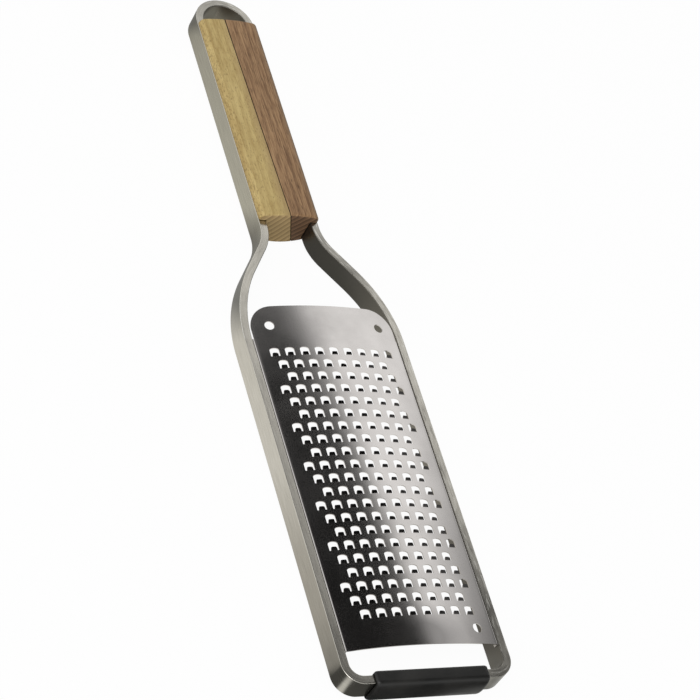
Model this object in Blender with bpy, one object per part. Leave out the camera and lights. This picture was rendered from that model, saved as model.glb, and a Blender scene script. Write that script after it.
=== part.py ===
"""Coarse hand grater with a laminated wooden handle.

A flat steel bar, bent into one closed loop, carries everything else: an arched sheet blade with rows of raised
teeth between its rails, a two-tone wooden handle let in between its straight sides, and a rubber sleeve round
the cross bar at the foot.

The grater lies on its back with the teeth up. X runs across it, Y from the foot to the hanging loop and Z out
of the front. While it is modelled, Y = 0 is the outer face of the cross bar and Z = 0 the back edge of the bar.
The empty "grater" then puts the middle of the bounding box's bottom at the world's origin. Lengths are in
metres.
"""

import math

import bmesh
import bpy
from mathutils import Vector
from mathutils.geometry import delaunay_2d_cdt

# Gap between neighbouring pieces, and how far a cutter runs past what it cuts
FIT = 0.0003
CUT_OVERRUN = 0.002

# Frame: a flat bar standing on edge
BAR_DEPTH = 0.0095
BAR_THICKNESS = 0.0032
BAR_EDGE_RADIUS = 0.0004
BODY_WIDTH = 0.0675
HANDLE_WIDTH = 0.0257
RAIL_LENGTH = 0.13485
HANDLE_BAR_LENGTH = 0.1046
FOOT_CORNER_RADIUS = 0.0063
NECK_RADIUS = 0.0200
SHOULDER_RADIUS = 0.0580
FLANK_LENGTH = 0.0126

# Blade: an arched sheet between the rails, its long edges folded down
SHEET_THICKNESS = 0.00045
ARCH_RADIUS = 0.1640
FOLD_INNER_RADIUS = 0.00025
FLANGE_DEPTH = 0.0017
BLADE_EDGE_STEP = 0.0001
BLADE_FOOT_GAP = 0.00935
BLADE_TOP_REACH = 0.0141
BLADE_CORNER_RADIUS = 0.0098
BLADE_CORNER_RELIEF = 0.0012
PILOT_HOLE_RADIUS = 0.0019
PILOT_HOLE_INSET_SIDE = 0.0067
PILOT_HOLE_INSET_TOP = 0.0087
PILOT_HOLE_INSET_FOOT = 0.0063

# Teeth: a tongue rooted at the foot side of each opening, its tip raised
TOOTH_PITCH = 0.0060
TOOTH_ROW_SPACING = 0.00552
TOOTH_ROW_SHIFT_SHARE = 0.3457
TOOTH_GRID_OFFSET = 0.00022
TOOTH_MARGIN_SIDE = 0.0054
TOOTH_MARGIN_TOP = 0.0203
TOOTH_MARGIN_FOOT = 0.0120
OPENING_WIDTH = 0.00370
OPENING_CROWN_HEIGHT = 0.00062
OPENING_CORNER_RADIUS = 0.00042
OPENING_ABOVE = 0.00148
OPENING_BELOW = 0.00220
OPENING_LEG_ROUNDING = 0.00020
TONGUE_ROOT_WIDTH = 0.00245
TONGUE_TIP_WIDTH = 0.00222
TONGUE_CORNER = 0.00036
TONGUE_LENGTH = 0.00120
TONGUE_RISE = 0.00028
TONGUE_EDGE_SETBACK = 0.00022

# Wooden handle: two halves, grooved for the bar and glued along a slanted seam
WOOD_FOOT_SETBACK = 0.0017
WOOD_LOOP_SETBACK = 0.0010
WOOD_FRONT_LIP = 0.0026
WOOD_FRONT_CROWN = 0.0011
WOOD_CORNER_SHARE = 0.85
WOOD_BACK_LIP = 0.0003
WOOD_BACK_CROWN = 0.0031
WOOD_BACK_INSET = 0.0003
WOOD_END_ROUNDING = 0.0012
WOOD_END_SIDE_SHARE = 0.5
SEAM_FRONT_AT_FOOT = -0.0006
SEAM_BACK_AT_FOOT = 0.0066
SEAM_DRIFT = -0.0019

# Rubber foot: a sleeve with a crowned outer wall
FOOT_END_SETBACK = 0.0035
FOOT_INNER_WALL = 0.0008
FOOT_FRONT_WALL = 0.0010
FOOT_BACK_WALL = 0.0009
FOOT_OUTER_WALL = 0.0006
FOOT_BULGE = 0.0013
FOOT_CORNER_SHARE = 0.9
FOOT_END_ROUNDING = 0.0012
FOOT_END_ROUNDING_SHARE = 0.6

# How finely the round stretches are stepped
BAR_EDGE_STEPS = 2
FOOT_CORNER_STEPS = 6
BEND_STEPS = 8
LOOP_STEPS = 20
BLADE_CORNER_STEPS = 6
BLADE_END_STEPS = 9
FOLD_STEPS = 3
PILOT_HOLE_STEPS = 12
OPENING_CROWN_STEPS = 3
OPENING_CORNER_STEPS = 1
WOOD_FACE_STEPS = 6
WOOD_CORNER_STEPS = 4
END_STEPS = 4
SLEEVE_CORNER_STEPS = 3
SLEEVE_BULGE_STEPS = 8

# The frame's main places
BAR_HALF = BAR_THICKNESS / 2
RAIL_MIDDLE = BODY_WIDTH / 2 - BAR_HALF
RAIL_INNER = BODY_WIDTH / 2 - BAR_THICKNESS
HANDLE_HALF = HANDLE_WIDTH / 2
HANDLE_MIDDLE = HANDLE_HALF - BAR_HALF
BEND_RADII = NECK_RADIUS + SHOULDER_RADIUS
BEND_REACH = RAIL_MIDDLE - HANDLE_MIDDLE
FLANK_LEAN = 2 * math.atan2(
    math.sqrt(FLANK_LENGTH**2 + (2 * BEND_RADII - BEND_REACH) * BEND_REACH) - FLANK_LENGTH,
    2 * BEND_RADII - BEND_REACH,
)
RAIL_TOP = BAR_HALF + FOOT_CORNER_RADIUS + RAIL_LENGTH
NECK_TOP = RAIL_TOP + BEND_RADII * math.sin(FLANK_LEAN) + FLANK_LENGTH * math.cos(FLANK_LEAN)
LOOP_CENTRE = NECK_TOP + HANDLE_BAR_LENGTH

# The blade's section, seen along Y: an arch, a tight fold and an upright flange
BLADE_HALF = RAIL_INNER - FIT
FOLD_RADIUS = FOLD_INNER_RADIUS + SHEET_THICKNESS
ARCH_LEAN = math.asin((BLADE_HALF - FOLD_RADIUS) / (ARCH_RADIUS - FOLD_RADIUS))
ARCH_HALF = ARCH_RADIUS * ARCH_LEAN
FOLD_END = ARCH_HALF + FOLD_RADIUS * (math.pi / 2 - ARCH_LEAN)
SHEET_HALF = FOLD_END + FLANGE_DEPTH
ARCH_CENTRE = BAR_DEPTH + BLADE_EDGE_STEP - ARCH_RADIUS * math.cos(ARCH_LEAN)
BLADE_FOOT = BAR_THICKNESS + BLADE_FOOT_GAP
BLADE_TOP = RAIL_TOP + BLADE_TOP_REACH
BLADE_CORNER = min(BLADE_CORNER_RADIUS, BLADE_TOP_REACH - BLADE_CORNER_RELIEF)

# The wood's section and ends
GROOVE_WALL = HANDLE_HALF - BAR_THICKNESS - FIT
FRONT_LIP_HEIGHT = BAR_DEPTH + FIT
BACK_LIP_HEIGHT = -FIT
WOOD_FRONT = FRONT_LIP_HEIGHT + WOOD_FRONT_LIP + WOOD_FRONT_CROWN
WOOD_BACK = BACK_LIP_HEIGHT - WOOD_BACK_LIP - WOOD_BACK_CROWN
WOOD_FOOT_END = NECK_TOP + WOOD_FOOT_SETBACK
WOOD_LOOP_END = LOOP_CENTRE - WOOD_LOOP_SETBACK

# The sleeve's slot and outer faces
SLOT_OUTER = -FIT
SLOT_INNER = BAR_THICKNESS + FIT
SLOT_BACK = -FIT
SLOT_FRONT = BAR_DEPTH + FIT
SLEEVE_OUTER = SLOT_OUTER - FOOT_OUTER_WALL
SLEEVE_INNER = SLOT_INNER + FOOT_INNER_WALL
SLEEVE_BACK = SLOT_BACK - FOOT_BACK_WALL
SLEEVE_FRONT = SLOT_FRONT + FOOT_FRONT_WALL
SLEEVE_HALF = RAIL_MIDDLE - FOOT_CORNER_RADIUS - FOOT_END_SETBACK
SLEEVE_CORNER = FOOT_CORNER_SHARE * min(FOOT_BACK_WALL, FOOT_FRONT_WALL)


def make_material(name, colour, roughness, metallic):
    """A plain finish for one sub-part."""
    made = bpy.data.materials.new(name)
    made.use_nodes = True
    shader = made.node_tree.nodes["Principled BSDF"]
    shader.inputs["Base Color"].default_value = (*colour, 1)
    shader.inputs["Roughness"].default_value = roughness
    shader.inputs["Metallic"].default_value = metallic
    return made


def add_object(name, bm, finish, parent):
    """Turns a bmesh into a named object under the parent, smooth apart from its sharp edges."""
    bmesh.ops.recalc_face_normals(bm, faces=bm.faces)
    mesh = bpy.data.meshes.new(name)
    bm.to_mesh(mesh)
    bm.free()
    mesh.shade_smooth()
    mesh.set_sharp_from_angle(angle=math.radians(35))
    made = bpy.data.objects.new(name, mesh)
    if finish:
        mesh.materials.append(finish)
    made.parent = parent
    bpy.context.scene.collection.objects.link(made)
    return made


def arc(centre, radius, start, end, steps):
    """Points along an arc, both ends included."""
    points = []
    for i in range(steps + 1):
        angle = start + (end - start) * i / steps
        points.append(Vector(centre) + Vector((math.cos(angle), math.sin(angle))) * radius)
    return points


def mirrored(points):
    """The points reflected in the middle plane, in reverse order, so that an outline goes on round."""
    return [Vector((-point.x, point.y)) for point in reversed(points)]


def skin(bm, rings, closed):
    """Joins rings of equal length with faces. Open rings are capped at both ends."""
    rows = [[bm.verts.new(point) for point in ring] for ring in rings]
    pairs = list(zip(rows, rows[1:]))
    if closed:
        pairs.append((rows[-1], rows[0]))
    else:
        bm.faces.new(rows[0])
        bm.faces.new(rows[-1])
    for first, second in pairs:
        for i in range(len(first)):
            j = (i + 1) % len(first)
            bm.faces.new((first[i], first[j], second[j], second[i]))


def end_rounding(radius):
    """Steps of a rounded end, from its face inwards, as (distance from the end, inset of the outline)."""
    steps = []
    for i in range(END_STEPS + 1):
        turn = math.pi / 2 * i / END_STEPS
        steps.append((radius * (1 - math.cos(turn)), radius * (1 - math.sin(turn))))
    return steps


def offset_line(offset):
    """The loop's outline at a distance outwards from the bar's centre line, seen from the front."""
    foot = (RAIL_MIDDLE - FOOT_CORNER_RADIUS, BAR_HALF + FOOT_CORNER_RADIUS)
    shoulder = (RAIL_MIDDLE - SHOULDER_RADIUS, RAIL_TOP)
    neck = (HANDLE_MIDDLE + NECK_RADIUS, NECK_TOP)
    right = arc(foot, FOOT_CORNER_RADIUS + offset, -math.pi / 2, 0, FOOT_CORNER_STEPS)
    right += arc(shoulder, SHOULDER_RADIUS + offset, 0, FLANK_LEAN, BEND_STEPS)
    right += arc(neck, NECK_RADIUS - offset, math.pi + FLANK_LEAN, math.pi, BEND_STEPS)
    loop = arc((0, LOOP_CENTRE), HANDLE_MIDDLE + offset, 0, math.pi, LOOP_STEPS)
    return right + loop + mirrored(right)


def bar_section():
    """Rounded oblong of the bar, as (offset outwards, height)."""
    across = BAR_HALF - BAR_EDGE_RADIUS
    front = BAR_DEPTH - BAR_EDGE_RADIUS
    corners = ((across, front), (-across, front), (-across, BAR_EDGE_RADIUS), (across, BAR_EDGE_RADIUS))
    section = []
    for quarter, centre in enumerate(corners):
        start = quarter * math.pi / 2
        section += arc(centre, BAR_EDGE_RADIUS, start, start + math.pi / 2, BAR_EDGE_STEPS)
    return section


def build_frame(parent, finish):
    """The bar's section carried once round the loop."""
    strands = []
    for offset, height in bar_section():
        strands.append([(*point, height) for point in offset_line(offset)])
    rings = list(zip(*strands))
    bm = bmesh.new()
    skin(bm, rings, closed=True)
    return add_object("frame", bm, finish, parent)


def bent(across, along, height):
    """Where a point of the flat sheet lies once the sheet is arched and folded. Height is above its face."""
    flat = abs(across)
    lean = min(flat / ARCH_RADIUS, ARCH_LEAN)
    centre = Vector((0, ARCH_CENTRE))
    radius = ARCH_RADIUS
    if flat > ARCH_HALF:
        centre += Vector((math.sin(lean), math.cos(lean))) * (ARCH_RADIUS - FOLD_RADIUS)
        lean += (min(flat, FOLD_END) - ARCH_HALF) / FOLD_RADIUS
        radius = FOLD_RADIUS
    point = centre + Vector((math.sin(lean), math.cos(lean))) * (radius + height)
    down = max(0, flat - FOLD_END)
    return Vector((math.copysign(point.x, across), along, point.y - down))


def fold_lines():
    """Distances from the middle at which the flat sheet is bent, from the arch to the flange."""
    return [ARCH_HALF + (FOLD_END - ARCH_HALF) * i / FOLD_STEPS for i in range(FOLD_STEPS + 1)]


def sheet_outline():
    """Edge of the flat sheet, counter-clockwise, with its flanges still flat."""
    folds = fold_lines() + [SHEET_HALF]
    right = [Vector((fold, BLADE_FOOT)) for fold in folds]
    right += [Vector((fold, RAIL_TOP)) for fold in reversed(folds)]
    corner = (ARCH_HALF - BLADE_CORNER, BLADE_TOP - BLADE_CORNER)
    right += arc(corner, BLADE_CORNER, 0, math.pi / 2, BLADE_CORNER_STEPS)
    left = mirrored(right)
    top, foot = [], []
    for i in range(1, BLADE_END_STEPS):
        top.append(right[-1].lerp(left[0], i / BLADE_END_STEPS))
        foot.append(left[-1].lerp(right[0], i / BLADE_END_STEPS))
    return right + top + left + foot


def opening_outline(centre):
    """U-shaped opening round a tongue. It starts at the tip's right corner, then the root's, and ends at
    the root's left corner, then the tip's."""
    half = OPENING_WIDTH / 2
    leg_half = (OPENING_WIDTH - TONGUE_ROOT_WIDTH) / 4
    leg_end = OPENING_LEG_ROUNDING - OPENING_BELOW
    tip = leg_end + TONGUE_LENGTH
    tip_half = TONGUE_TIP_WIDTH / 2
    right = [Vector((tip_half - TONGUE_CORNER, tip)), Vector((tip_half, tip - TONGUE_CORNER))]
    for point in arc((0, 0), 1, math.pi, 2 * math.pi, 2):
        right.append(Vector((half + leg_half * (point.x - 1), leg_end + OPENING_LEG_ROUNDING * point.y)))
    crown_radius = (half**2 + OPENING_CROWN_HEIGHT**2) / (2 * OPENING_CROWN_HEIGHT)
    crown_centre = (0, OPENING_ABOVE - crown_radius)
    corner_reach = crown_radius - OPENING_CORNER_RADIUS
    lean = math.asin((half - OPENING_CORNER_RADIUS) / corner_reach)
    corner_centre = (half - OPENING_CORNER_RADIUS, crown_centre[1] + corner_reach * math.cos(lean))
    quarter = math.pi / 2
    right += arc(corner_centre, OPENING_CORNER_RADIUS, 0, quarter - lean, OPENING_CORNER_STEPS)[:-1]
    crown = arc(crown_centre, crown_radius, quarter - lean, quarter + lean, OPENING_CROWN_STEPS)
    return [Vector(centre) + point for point in right + crown + mirrored(right)]


def tongue_share(point, centre):
    """How far along its tongue a point lies, from 0 at the root to 1 at the tip."""
    return (point.y - centre[1] - OPENING_LEG_ROUNDING + OPENING_BELOW) / TONGUE_LENGTH


def tooth_centres():
    """Centres of the teeth on the flat sheet. Each row is shifted by about a third of the pitch, and every
    fourth lines up with the first again."""
    reach = FOLD_END - TOOTH_MARGIN_SIDE
    columns = int(reach / TOOTH_PITCH)
    field = BLADE_TOP - BLADE_FOOT - TOOTH_MARGIN_TOP - TOOTH_MARGIN_FOOT
    centres = []
    for row in range(int(field / TOOTH_ROW_SPACING) + 1):
        along = BLADE_TOP - TOOTH_MARGIN_TOP - row * TOOTH_ROW_SPACING
        for column in range(-columns, columns + 1):
            across = (column + row % 3 * TOOTH_ROW_SHIFT_SHARE) * TOOTH_PITCH + TOOTH_GRID_OFFSET
            if abs(across) <= reach:
                centres.append((across, along))
    return centres


def pilot_hole_centres():
    """Two round holes near the handle and one at the foot, on the right."""
    across = ARCH_HALF - PILOT_HOLE_INSET_SIDE
    top = BLADE_TOP - PILOT_HOLE_INSET_TOP
    foot = BLADE_FOOT + PILOT_HOLE_INSET_FOOT
    return [(-across, top), (across, top), (across, foot)]


def inside(point, loop):
    """Whether a point lies within a closed outline."""
    crossings = 0
    for first, second in zip(loop, loop[1:] + loop[:1]):
        if (first.y > point.y) != (second.y > point.y):
            share = (point.y - first.y) / (second.y - first.y)
            crossings += first.x + (second.x - first.x) * share > point.x
    return crossings % 2 == 1


def flat_sheet():
    """The flat pattern cut into triangles: its points, its faces, and how far along a tongue each corner
    of a tip lies."""
    loops = [sheet_outline()]
    for centre in pilot_hole_centres():
        loops.append(arc(centre, PILOT_HOLE_RADIUS, 0, 2 * math.pi, PILOT_HOLE_STEPS)[:-1])
    round_loops = len(loops)
    loops += [opening_outline(centre) for centre in tooth_centres()]
    points, edges, owner = [], [], []
    tips = {}
    centres = [None] * round_loops + tooth_centres()
    for number, loop in enumerate(loops):
        first = len(points)
        last = first + len(loop) - 1
        points += loop
        owner += [number] * len(loop)
        edges += [(i, i + 1) for i in range(first, last)]
        edges.append((last, first))
        if number >= round_loops:
            for i in (first, first + 1, last - 1, last):
                tips[i] = tongue_share(points[i], centres[number])
            edges.append((first + 2, last - 2))
    for fold in fold_lines():
        for side in (fold, -fold):
            ends = (Vector((side, BLADE_FOOT)), Vector((side, RAIL_TOP)))
            edges.append(tuple(loops[0].index(end) for end in ends))
    unit = TOOTH_PITCH
    filled = delaunay_2d_cdt([point / unit for point in points], edges, [], 1, 1e-6)
    sources = [source[0] for source in filled[3]]
    faces = []
    for face in filled[2]:
        face = [sources[i] for i in face]
        owners = {owner[i] for i in face}
        middle = sum((points[i] for i in face), Vector((0, 0))) / len(face)
        hole = loops[owners.pop()] if len(owners) == 1 else None
        if hole is None or hole is loops[0] or not inside(middle, hole):
            faces.append(face)
    return points, faces, tips


def build_blade(parent, finish):
    """The flat pattern given its thickness and bent to shape, with the tongues raised and ground sharp."""
    points, faces, tips = flat_sheet()
    bm = bmesh.new()
    upper, lower = [], []
    for i, (across, along) in enumerate(points):
        rise = TONGUE_RISE * tips.get(i, 0)
        setback = TONGUE_EDGE_SETBACK * tips.get(i, 0)
        upper.append(bm.verts.new(bent(across, along, rise)))
        lower.append(bm.verts.new(bent(across, along - setback, rise - SHEET_THICKNESS)))
    directed = set()
    for face in faces:
        bm.faces.new([upper[i] for i in face])
        bm.faces.new([lower[i] for i in reversed(face)])
        directed |= set(zip(face, face[1:] + face[:1]))
    for first, second in sorted(directed):
        if (second, first) not in directed:
            bm.faces.new((upper[second], upper[first], lower[first], lower[second]))
    return add_object("blade", bm, finish, parent)


def crown_height(across, middle, crown, half):
    """Height on an arc that drops by the crown from the middle to the given half width."""
    radius = (half**2 + crown**2) / (2 * abs(crown))
    drop = radius - math.sqrt(radius**2 - across**2)
    return middle - math.copysign(drop, crown)


def wood_section(side, seam_front, seam_back, inset):
    """Outline of one half of the handle, as (across, height). The inset draws it in at a rounded end."""
    corner = WOOD_CORNER_SHARE * WOOD_FRONT_LIP
    radius = (HANDLE_HALF**2 + WOOD_FRONT_CROWN**2) / (2 * WOOD_FRONT_CROWN)
    lean = math.asin((HANDLE_HALF - corner) / (radius - corner))
    crown_centre = WOOD_FRONT - radius
    corner_centre = (HANDLE_HALF - corner, crown_centre + (radius - corner) * math.cos(lean))
    seam_lean = math.asin(side * seam_front / radius)
    front = arc((0, crown_centre), radius, math.pi / 2 - seam_lean, math.pi / 2 - lean, WOOD_FACE_STEPS)
    front += arc(corner_centre, corner, math.pi / 2 - lean, 0, WOOD_CORNER_STEPS)[1:]
    front.append(Vector((HANDLE_HALF, FRONT_LIP_HEIGHT)))
    back_half = HANDLE_HALF - WOOD_BACK_INSET
    back = [Vector((back_half, BACK_LIP_HEIGHT))]
    for i in range(WOOD_FACE_STEPS + 1):
        across = back_half + (side * seam_back - back_half) * i / WOOD_FACE_STEPS
        back.append(Vector((across, crown_height(across, WOOD_BACK, -WOOD_BACK_CROWN, back_half))))
    front_scale = 1 - inset / (WOOD_FRONT_LIP + WOOD_FRONT_CROWN)
    back_scale = 1 - inset / (WOOD_BACK_LIP + WOOD_BACK_CROWN)
    lip = HANDLE_HALF - GROOVE_WALL
    outline = []
    for lip_height, scale, points in (
        (FRONT_LIP_HEIGHT, front_scale, front),
        (BACK_LIP_HEIGHT, back_scale, back),
    ):
        for point in points:
            drawn_in = WOOD_END_SIDE_SHARE * inset * max(0, point.x - GROOVE_WALL) / lip
            height = lip_height + (point.y - lip_height) * scale
            outline.append((side * (point.x - drawn_in), height))
        if points is front:
            outline.append((side * GROOVE_WALL, FRONT_LIP_HEIGHT))
            outline.append((side * GROOVE_WALL, BACK_LIP_HEIGHT))
    return outline


def build_wood_half(name, side, parent, finish):
    """One half of the handle, lofted from end to end, its seam drifting sideways on the way."""
    length = WOOD_LOOP_END - WOOD_FOOT_END
    steps = end_rounding(WOOD_END_ROUNDING)
    stations = steps + [(length - distance, inset) for distance, inset in reversed(steps)]
    rings = []
    for distance, inset in stations:
        drift = SEAM_DRIFT * distance / length + side * FIT / 2
        section = wood_section(side, SEAM_FRONT_AT_FOOT + drift, SEAM_BACK_AT_FOOT + drift, inset)
        rings.append([(across, WOOD_FOOT_END + distance, height) for across, height in section])
    bm = bmesh.new()
    skin(bm, rings, closed=False)
    return add_object(name, bm, finish, parent)


def sleeve_section(draw_in):
    """Outline of the rubber sleeve, as (along, height), drawn in towards its slot by a share."""
    corner = SLEEVE_CORNER
    outer, inner = SLEEVE_OUTER + corner, SLEEVE_INNER - corner
    back, front = SLEEVE_BACK + corner, SLEEVE_FRONT - corner
    outline = arc((inner, back), corner, -math.pi / 2, 0, SLEEVE_CORNER_STEPS)
    outline += arc((inner, front), corner, 0, math.pi / 2, SLEEVE_CORNER_STEPS)
    outline += arc((outer, front), corner, math.pi / 2, math.pi, SLEEVE_CORNER_STEPS)
    for i in range(1, SLEEVE_BULGE_STEPS):
        share = i / SLEEVE_BULGE_STEPS
        bulge = FOOT_BULGE * 4 * share * (1 - share)
        outline.append(Vector((SLEEVE_OUTER - bulge, front + (back - front) * share)))
    outline += arc((outer, back), corner, math.pi, 3 * math.pi / 2, SLEEVE_CORNER_STEPS)
    drawn = []
    for point in outline:
        along = min(max(point.x, SLOT_OUTER), SLOT_INNER)
        height = min(max(point.y, SLOT_BACK), SLOT_FRONT)
        drawn.append(point.lerp(Vector((along, height)), draw_in))
    return drawn


def build_foot(parent, finish):
    """The rubber sleeve, with a slot that fits round the cross bar."""
    steps = end_rounding(FOOT_END_ROUNDING)
    stations = [(distance - SLEEVE_HALF, inset) for distance, inset in steps]
    stations += [(-across, inset) for across, inset in reversed(stations)]
    rings = []
    for across, inset in stations:
        draw_in = FOOT_END_ROUNDING_SHARE * inset / FOOT_END_ROUNDING
        rings.append([(across, *point) for point in sleeve_section(draw_in)])
    bm = bmesh.new()
    skin(bm, rings, closed=False)
    foot = add_object("foot", bm, finish, parent)

    bm = bmesh.new()
    corners = (
        (SLOT_OUTER, SLOT_BACK),
        (SLOT_INNER, SLOT_BACK),
        (SLOT_INNER, SLOT_FRONT),
        (SLOT_OUTER, SLOT_FRONT),
    )
    reach = SLEEVE_HALF + CUT_OVERRUN
    skin(bm, [[(across, *corner) for corner in corners] for across in (-reach, reach)], closed=False)
    cutter = add_object("foot_slot_cutter", bm, None, parent)
    cutter.hide_render = True
    cutter.display_type = "WIRE"
    slot = foot.modifiers.new("bar slot", "BOOLEAN")
    slot.operation = "DIFFERENCE"
    slot.solver = "EXACT"
    slot.object = cutter
    return foot


def build_grater():
    """Every piece, under one empty that puts the bottom's middle at the origin."""
    for old in list(bpy.data.objects):
        bpy.data.objects.remove(old, do_unlink=True)
    steel = make_material("bright_steel_bar", (0.60, 0.60, 0.58), 0.32, 1.0)
    sheet = make_material("polished_stainless_sheet", (0.62, 0.62, 0.62), 0.18, 1.0)
    light_wood = make_material("oiled_light_hardwood", (0.48, 0.35, 0.12), 0.55, 0.0)
    dark_wood = make_material("oiled_dark_hardwood", (0.27, 0.16, 0.09), 0.55, 0.0)
    rubber = make_material("black_rubber", (0.02, 0.02, 0.02), 0.6, 0.0)

    grater = bpy.data.objects.new("grater", None)
    bpy.context.scene.collection.objects.link(grater)
    foot_end = SLEEVE_OUTER - FOOT_BULGE
    loop_end = LOOP_CENTRE + HANDLE_HALF
    grater.location = (0, -(foot_end + loop_end) / 2, -WOOD_BACK)

    build_frame(grater, steel)
    build_blade(grater, sheet)
    build_wood_half("handle_left", -1, grater, light_wood)
    build_wood_half("handle_right", 1, grater, dark_wood)
    build_foot(grater, rubber)


build_grater()
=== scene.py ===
"""Looks of the flat coarse grater: steel bar frame, arched toothed blade, laminated handle and rubber foot.

Every piece is modelled in the frame's own place, with Y = 0 at the outer face of the cross bar and Z = 0 at the
back edge of the bar, and then moved to where the CAD frame lies. Lengths are in metres.
"""

import logging
import math
from collections.abc import Callable, Iterator, Sequence
from contextlib import contextmanager
from dataclasses import dataclass, field
from enum import Enum

import bmesh
import bpy
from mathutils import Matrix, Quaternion, Vector
from mathutils.kdtree import KDTree


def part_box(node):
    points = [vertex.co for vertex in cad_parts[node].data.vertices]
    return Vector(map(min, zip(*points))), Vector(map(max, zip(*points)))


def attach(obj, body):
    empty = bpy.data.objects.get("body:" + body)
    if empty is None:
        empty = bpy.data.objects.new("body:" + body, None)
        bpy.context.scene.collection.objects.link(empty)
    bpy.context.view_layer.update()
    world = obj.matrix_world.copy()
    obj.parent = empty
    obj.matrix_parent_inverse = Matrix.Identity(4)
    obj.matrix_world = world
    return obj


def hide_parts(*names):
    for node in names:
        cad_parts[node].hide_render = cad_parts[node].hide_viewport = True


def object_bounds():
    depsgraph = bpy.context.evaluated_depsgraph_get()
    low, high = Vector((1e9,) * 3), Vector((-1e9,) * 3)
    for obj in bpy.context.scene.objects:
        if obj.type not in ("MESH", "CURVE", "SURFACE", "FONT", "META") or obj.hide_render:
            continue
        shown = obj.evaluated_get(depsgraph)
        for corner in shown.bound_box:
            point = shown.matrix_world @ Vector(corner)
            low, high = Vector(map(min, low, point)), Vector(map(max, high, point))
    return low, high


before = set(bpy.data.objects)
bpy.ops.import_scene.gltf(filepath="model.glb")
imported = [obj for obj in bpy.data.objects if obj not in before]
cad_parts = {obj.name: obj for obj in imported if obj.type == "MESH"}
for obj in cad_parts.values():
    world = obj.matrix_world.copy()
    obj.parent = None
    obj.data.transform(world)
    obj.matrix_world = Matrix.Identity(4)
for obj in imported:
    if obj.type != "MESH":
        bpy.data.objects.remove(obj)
CAD_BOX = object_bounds()

# The CAD's gap between neighbouring pieces, how far a cutter runs past what it cuts, how near two lengths count as
# one, and how near two points are merged
GAP = 0.0003
OVERRUN = 0.002
NEAR = 0.00002
MERGE = 0.000002

# How squarely a face has to look along an axis to be picked, and how much large faces weigh in shared normals
AXIAL = 0.9
FLAT_FACE_WEIGHT = 80

# Numbers of the Mix node's two colour inputs and of its colour output
MIX_BELOW, MIX_ABOVE, MIX_RESULT = 6, 7, 2

BAR_MAP = "along_bar"

LOG = logging.getLogger("grater")

Tree = bpy.types.NodeTree
Socket = bpy.types.NodeSocket


class Slot(Enum):
    """The record's material slots."""

    FRAME_STEEL = "frame_steel"
    BLADE_STEEL = "blade_steel"
    LIGHT_WOOD = "light_wood"
    DARK_WOOD = "dark_wood"
    RUBBER = "rubber"


class Side(Enum):
    """The two sides of the grater, by the sign of X."""

    LEFT = -1
    RIGHT = 1


class SelectMode(Enum):
    """What edit mode selects."""

    VERTEX = "VERT"
    EDGE = "EDGE"
    FACE = "FACE"


class Mark(Enum):
    """Marks on a mesh's faces that its material reads."""

    # Painted shade on the bar's inner faces
    MILL_SKIN = "mill_skin"
    # Partly polish and partly painted highlight on the bar's outer edges
    POLISHED_EDGE = "polished_edge"
    FRONT_EDGE = "front_edge"
    END_GRAIN = "end_grain"
    GLUE_LINE = "glue_line"


# Modelling by hand


def deselect_all() -> None:
    """Deselects every object."""
    bpy.ops.object.select_all(action="DESELECT")


def activate(piece: bpy.types.Object) -> None:
    """Makes a piece the only selected and the active one.

    Args:
        piece: The piece.
    """
    deselect_all()
    piece.select_set(True)
    bpy.context.view_layer.objects.active = piece


@contextmanager
def editing(piece: bpy.types.Object) -> Iterator[None]:
    """Opens a piece in edit mode with nothing selected in it, and closes it again.

    Args:
        piece: The mesh object to open.

    Returns:
        The context, while the piece is open.
    """
    activate(piece)
    bpy.ops.object.mode_set(mode="EDIT")
    bpy.ops.mesh.select_all(action="DESELECT")
    yield
    bpy.ops.object.mode_set(mode="OBJECT")


def pick(mode: SelectMode, wanted: Callable[..., bool]) -> None:
    """Selects the parts of the open mesh that a test accepts, and nothing else.

    Args:
        mode: Whether vertices, edges or faces are picked.
        wanted: Gets a vertex's place, an edge's two ends, or a face's middle and normal.
    """
    bpy.ops.mesh.select_all(action="DESELECT")
    bpy.ops.mesh.select_mode(type=mode.value)
    mesh = bmesh.from_edit_mesh(bpy.context.object.data)
    mesh.normal_update()
    if mode is SelectMode.VERTEX:
        hits = [vertex for vertex in mesh.verts if wanted(vertex.co)]
    elif mode is SelectMode.EDGE:
        hits = [edge for edge in mesh.edges if wanted(edge.verts[0].co, edge.verts[1].co)]
    else:
        hits = [face for face in mesh.faces if wanted(face.calc_center_median(), face.normal)]
    for hit in hits:
        hit.select_set(True)
    mesh.select_flush_mode()
    bmesh.update_edit_mesh(bpy.context.object.data)


def pick_everything() -> None:
    """Selects the whole open mesh."""
    bpy.ops.mesh.select_all(action="SELECT")


def close_to(first: float, second: float) -> bool:
    """Whether two lengths are as good as the same."""
    return abs(first - second) <= NEAR


def turn_outwards() -> None:
    """Turns every face of the open, closed shell outwards."""
    pick_everything()
    bpy.ops.mesh.normals_make_consistent(inside=False)


def thicken(distance: tuple) -> None:
    """Extrudes the whole open sheet into a closed shell.

    Args:
        distance: How far, and which way.
    """
    bpy.ops.mesh.select_mode(type=SelectMode.FACE.value)
    pick_everything()
    bpy.ops.mesh.extrude_region_move(TRANSFORM_OT_translate={"value": distance})
    turn_outwards()


def round_corners(width: float, segments: int) -> None:
    """Rounds the picked corners of the open sheet.

    Args:
        width: How far from its corner each rounding starts.
        segments: Number of edges in each rounding.
    """
    bpy.ops.mesh.bevel(offset=width, offset_type="OFFSET", segments=segments, affect="VERTICES")


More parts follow.
